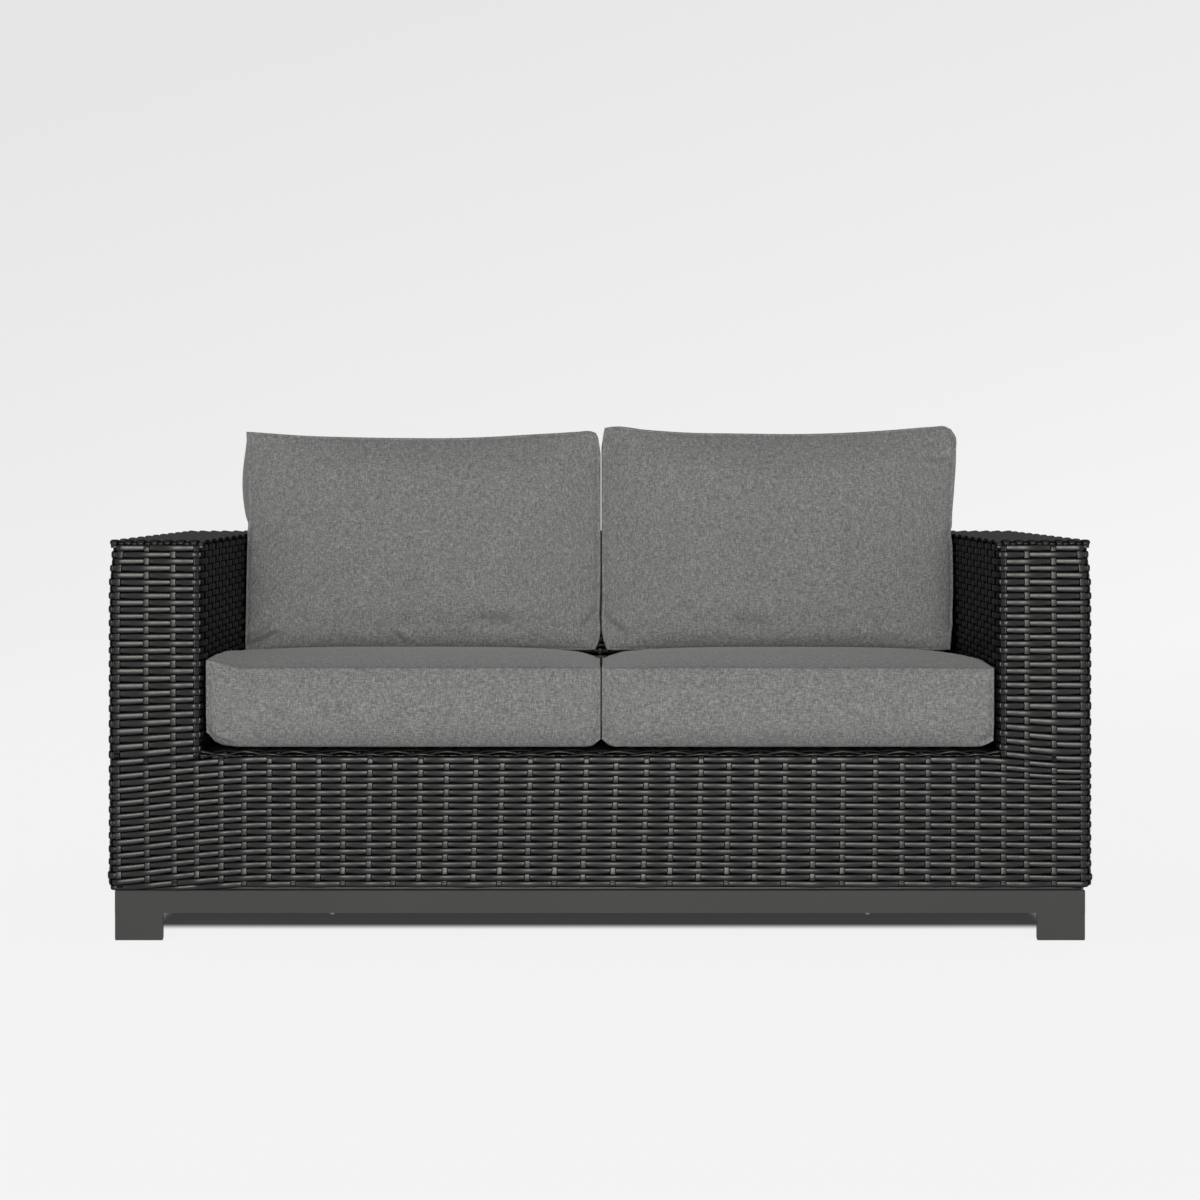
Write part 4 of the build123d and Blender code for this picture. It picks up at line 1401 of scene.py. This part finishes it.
def floor_finish():
    """White floor: lit for every ray, whitened for the camera, and with a painted shadow under the seat."""
    material, tree, shader = new_finish("floor_paper", (0.85, 0.85, 0.85), 0.9)
    shader.inputs["Specular IOR Level"].default_value = 0.0
    place = add_node(tree, "ShaderNodeTexCoord").outputs["Object"]
    socket, vector = place, {"kind": "ShaderNodeVectorMath"}
    socket = compute(tree, "SUBTRACT", socket, (0, shadow_middle, 0), **vector)
    socket = compute(tree, "ABSOLUTE", socket, **vector)
    socket = compute(tree, "SUBTRACT", socket, (*shadow_half, 0), **vector)
    socket = compute(tree, "MAXIMUM", socket, (0, 0, 0), **vector)
    lengths = []
    for source in (socket, place):
        measure = add_node(tree, "ShaderNodeVectorMath", operation="LENGTH")
        lengths.append(fed(tree, measure, source).outputs["Value"])
    off_shadow, off_middle = lengths
    glow = add_node(tree, "ShaderNodeEmission")
    # The glow is full outside the rectangle and dark grey inside it, which is the painted shadow.
    glow_level = remap(tree, off_shadow, (0, 0.07), (0.045, 1.0), interpolation_type="SMOOTHSTEP")
    tree.links.new(glow_level, glow.inputs["Strength"])
    share = compute(tree, "MULTIPLY", seen_rays(tree), 0.86)
    paper = mixed(tree, share, shader.outputs[0], glow.outputs[0])
    fade = remap(tree, off_middle, (2.0, floor_radius), (0, 1))
    clear = add_node(tree, "ShaderNodeBsdfTransparent")
    paper = mixed(tree, fade, paper, clear.outputs[0])
    tree.links.new(paper, tree.nodes["Material Output"].inputs["Surface"])
    return material


floor.data.materials.append(floor_finish())
print("floor radius", floor_radius, "m")

# %% Paint the background
world = bpy.data.worlds.new("studio")
bpy.context.scene.world = world
world.use_nodes = True
sky = world.node_tree
for node in list(sky.nodes):
    sky.nodes.remove(node)
direction = add_node(sky, "ShaderNodeTexCoord").outputs["Generated"]
aim = fed(sky, add_node(sky, "ShaderNodeSeparateXYZ"), direction).outputs
wall_tones = [(0.0, (gray(246),) * 3), (0.35, (gray(240),) * 3), (1.0, (gray(230),) * 3)]
up_share = remap(sky, aim["Z"], (-0.12, 0.20), (0, 1))
tone_share = compute(sky, "ADD", up_share, compute(sky, "MULTIPLY", aim["X"], -0.9))
seen = fed(sky, add_node(sky, "ShaderNodeBackground"), ramp(sky, tone_share, wall_tones))
filling = add_node(sky, "ShaderNodeBackground", Color=(0.965, 0.96, 1, 1))
fill_low, fill_high = 0.46, 0.08
sky.links.new(remap(sky, aim["Z"], (0, 1), (fill_low, fill_high)), filling.inputs["Strength"])
studio = mixed(sky, seen_rays(sky), filling.outputs[0], seen.outputs[0])
sky.links.new(studio, add_node(sky, "ShaderNodeOutputWorld").inputs["Surface"])
print("background has", len(sky.nodes), "nodes")


# %% Hang the lamps
def soft_lamp(name, place, target, width, height, energy, color):
    """A square lamp that faces a point, seen only by its light."""
    lamp = bpy.data.lights.new(name, "AREA")
    lamp.shape = "RECTANGLE"
    lamp.size, lamp.size_y = width, height
    lamp.energy = energy
    lamp.color = color
    holder = bpy.data.objects.new(name, lamp)
    bpy.context.scene.collection.objects.link(holder)
    holder.location = place
    holder.visible_camera = False
    aim = Vector(target) - Vector(place)
    holder.rotation_euler = aim.to_track_quat("-Z", "Y").to_euler()
    return holder


lamp_place, lamp_target, lamp_size = (0.0, -14.0, 1.75), (0, 0, 0.45), 4.2
soft_lamp("lamp_behind_camera", lamp_place, lamp_target, lamp_size, lamp_size, 1370, (0.995, 1.0, 0.96))
print("lamp at", lamp_place)

# %% [markdown]
# ## The camera
# The photograph was taken level, from 4.6 m in front of the arms and 0.77 m above the floor. A
# camera that tilts down would make the upright edges lean. So the lens looks straight ahead, and a
# small shift puts the loveseat in the lower part of the frame.

# %% Place the camera
camera_data = bpy.data.cameras.new("camera")
camera = bpy.data.objects.new("camera", camera_data)
bpy.context.scene.collection.objects.link(camera)
camera_distance, eye_height = 4.58, 0.769
camera.location = (0.0, front_y - camera_distance, eye_height)
camera.rotation_euler = (math.pi / 2, 0, 0)
camera_data.sensor_width = 36
camera_data.lens = 82.0
horizon_above_middle, frame_width = 118, 1200
camera_data.shift_y = -horizon_above_middle / frame_width
bpy.context.scene.camera = camera
bpy.context.scene.view_settings.view_transform = "Standard"
print("camera at", tuple(round(value, 3) for value in camera.location))

# %% [markdown]
# ## Finish
# The dressed model has to stay the size of the solids. The strand and the filled covers stand out
# by a few millimetres, and nothing else may.

# %% Finish
bpy.context.view_layer.update()
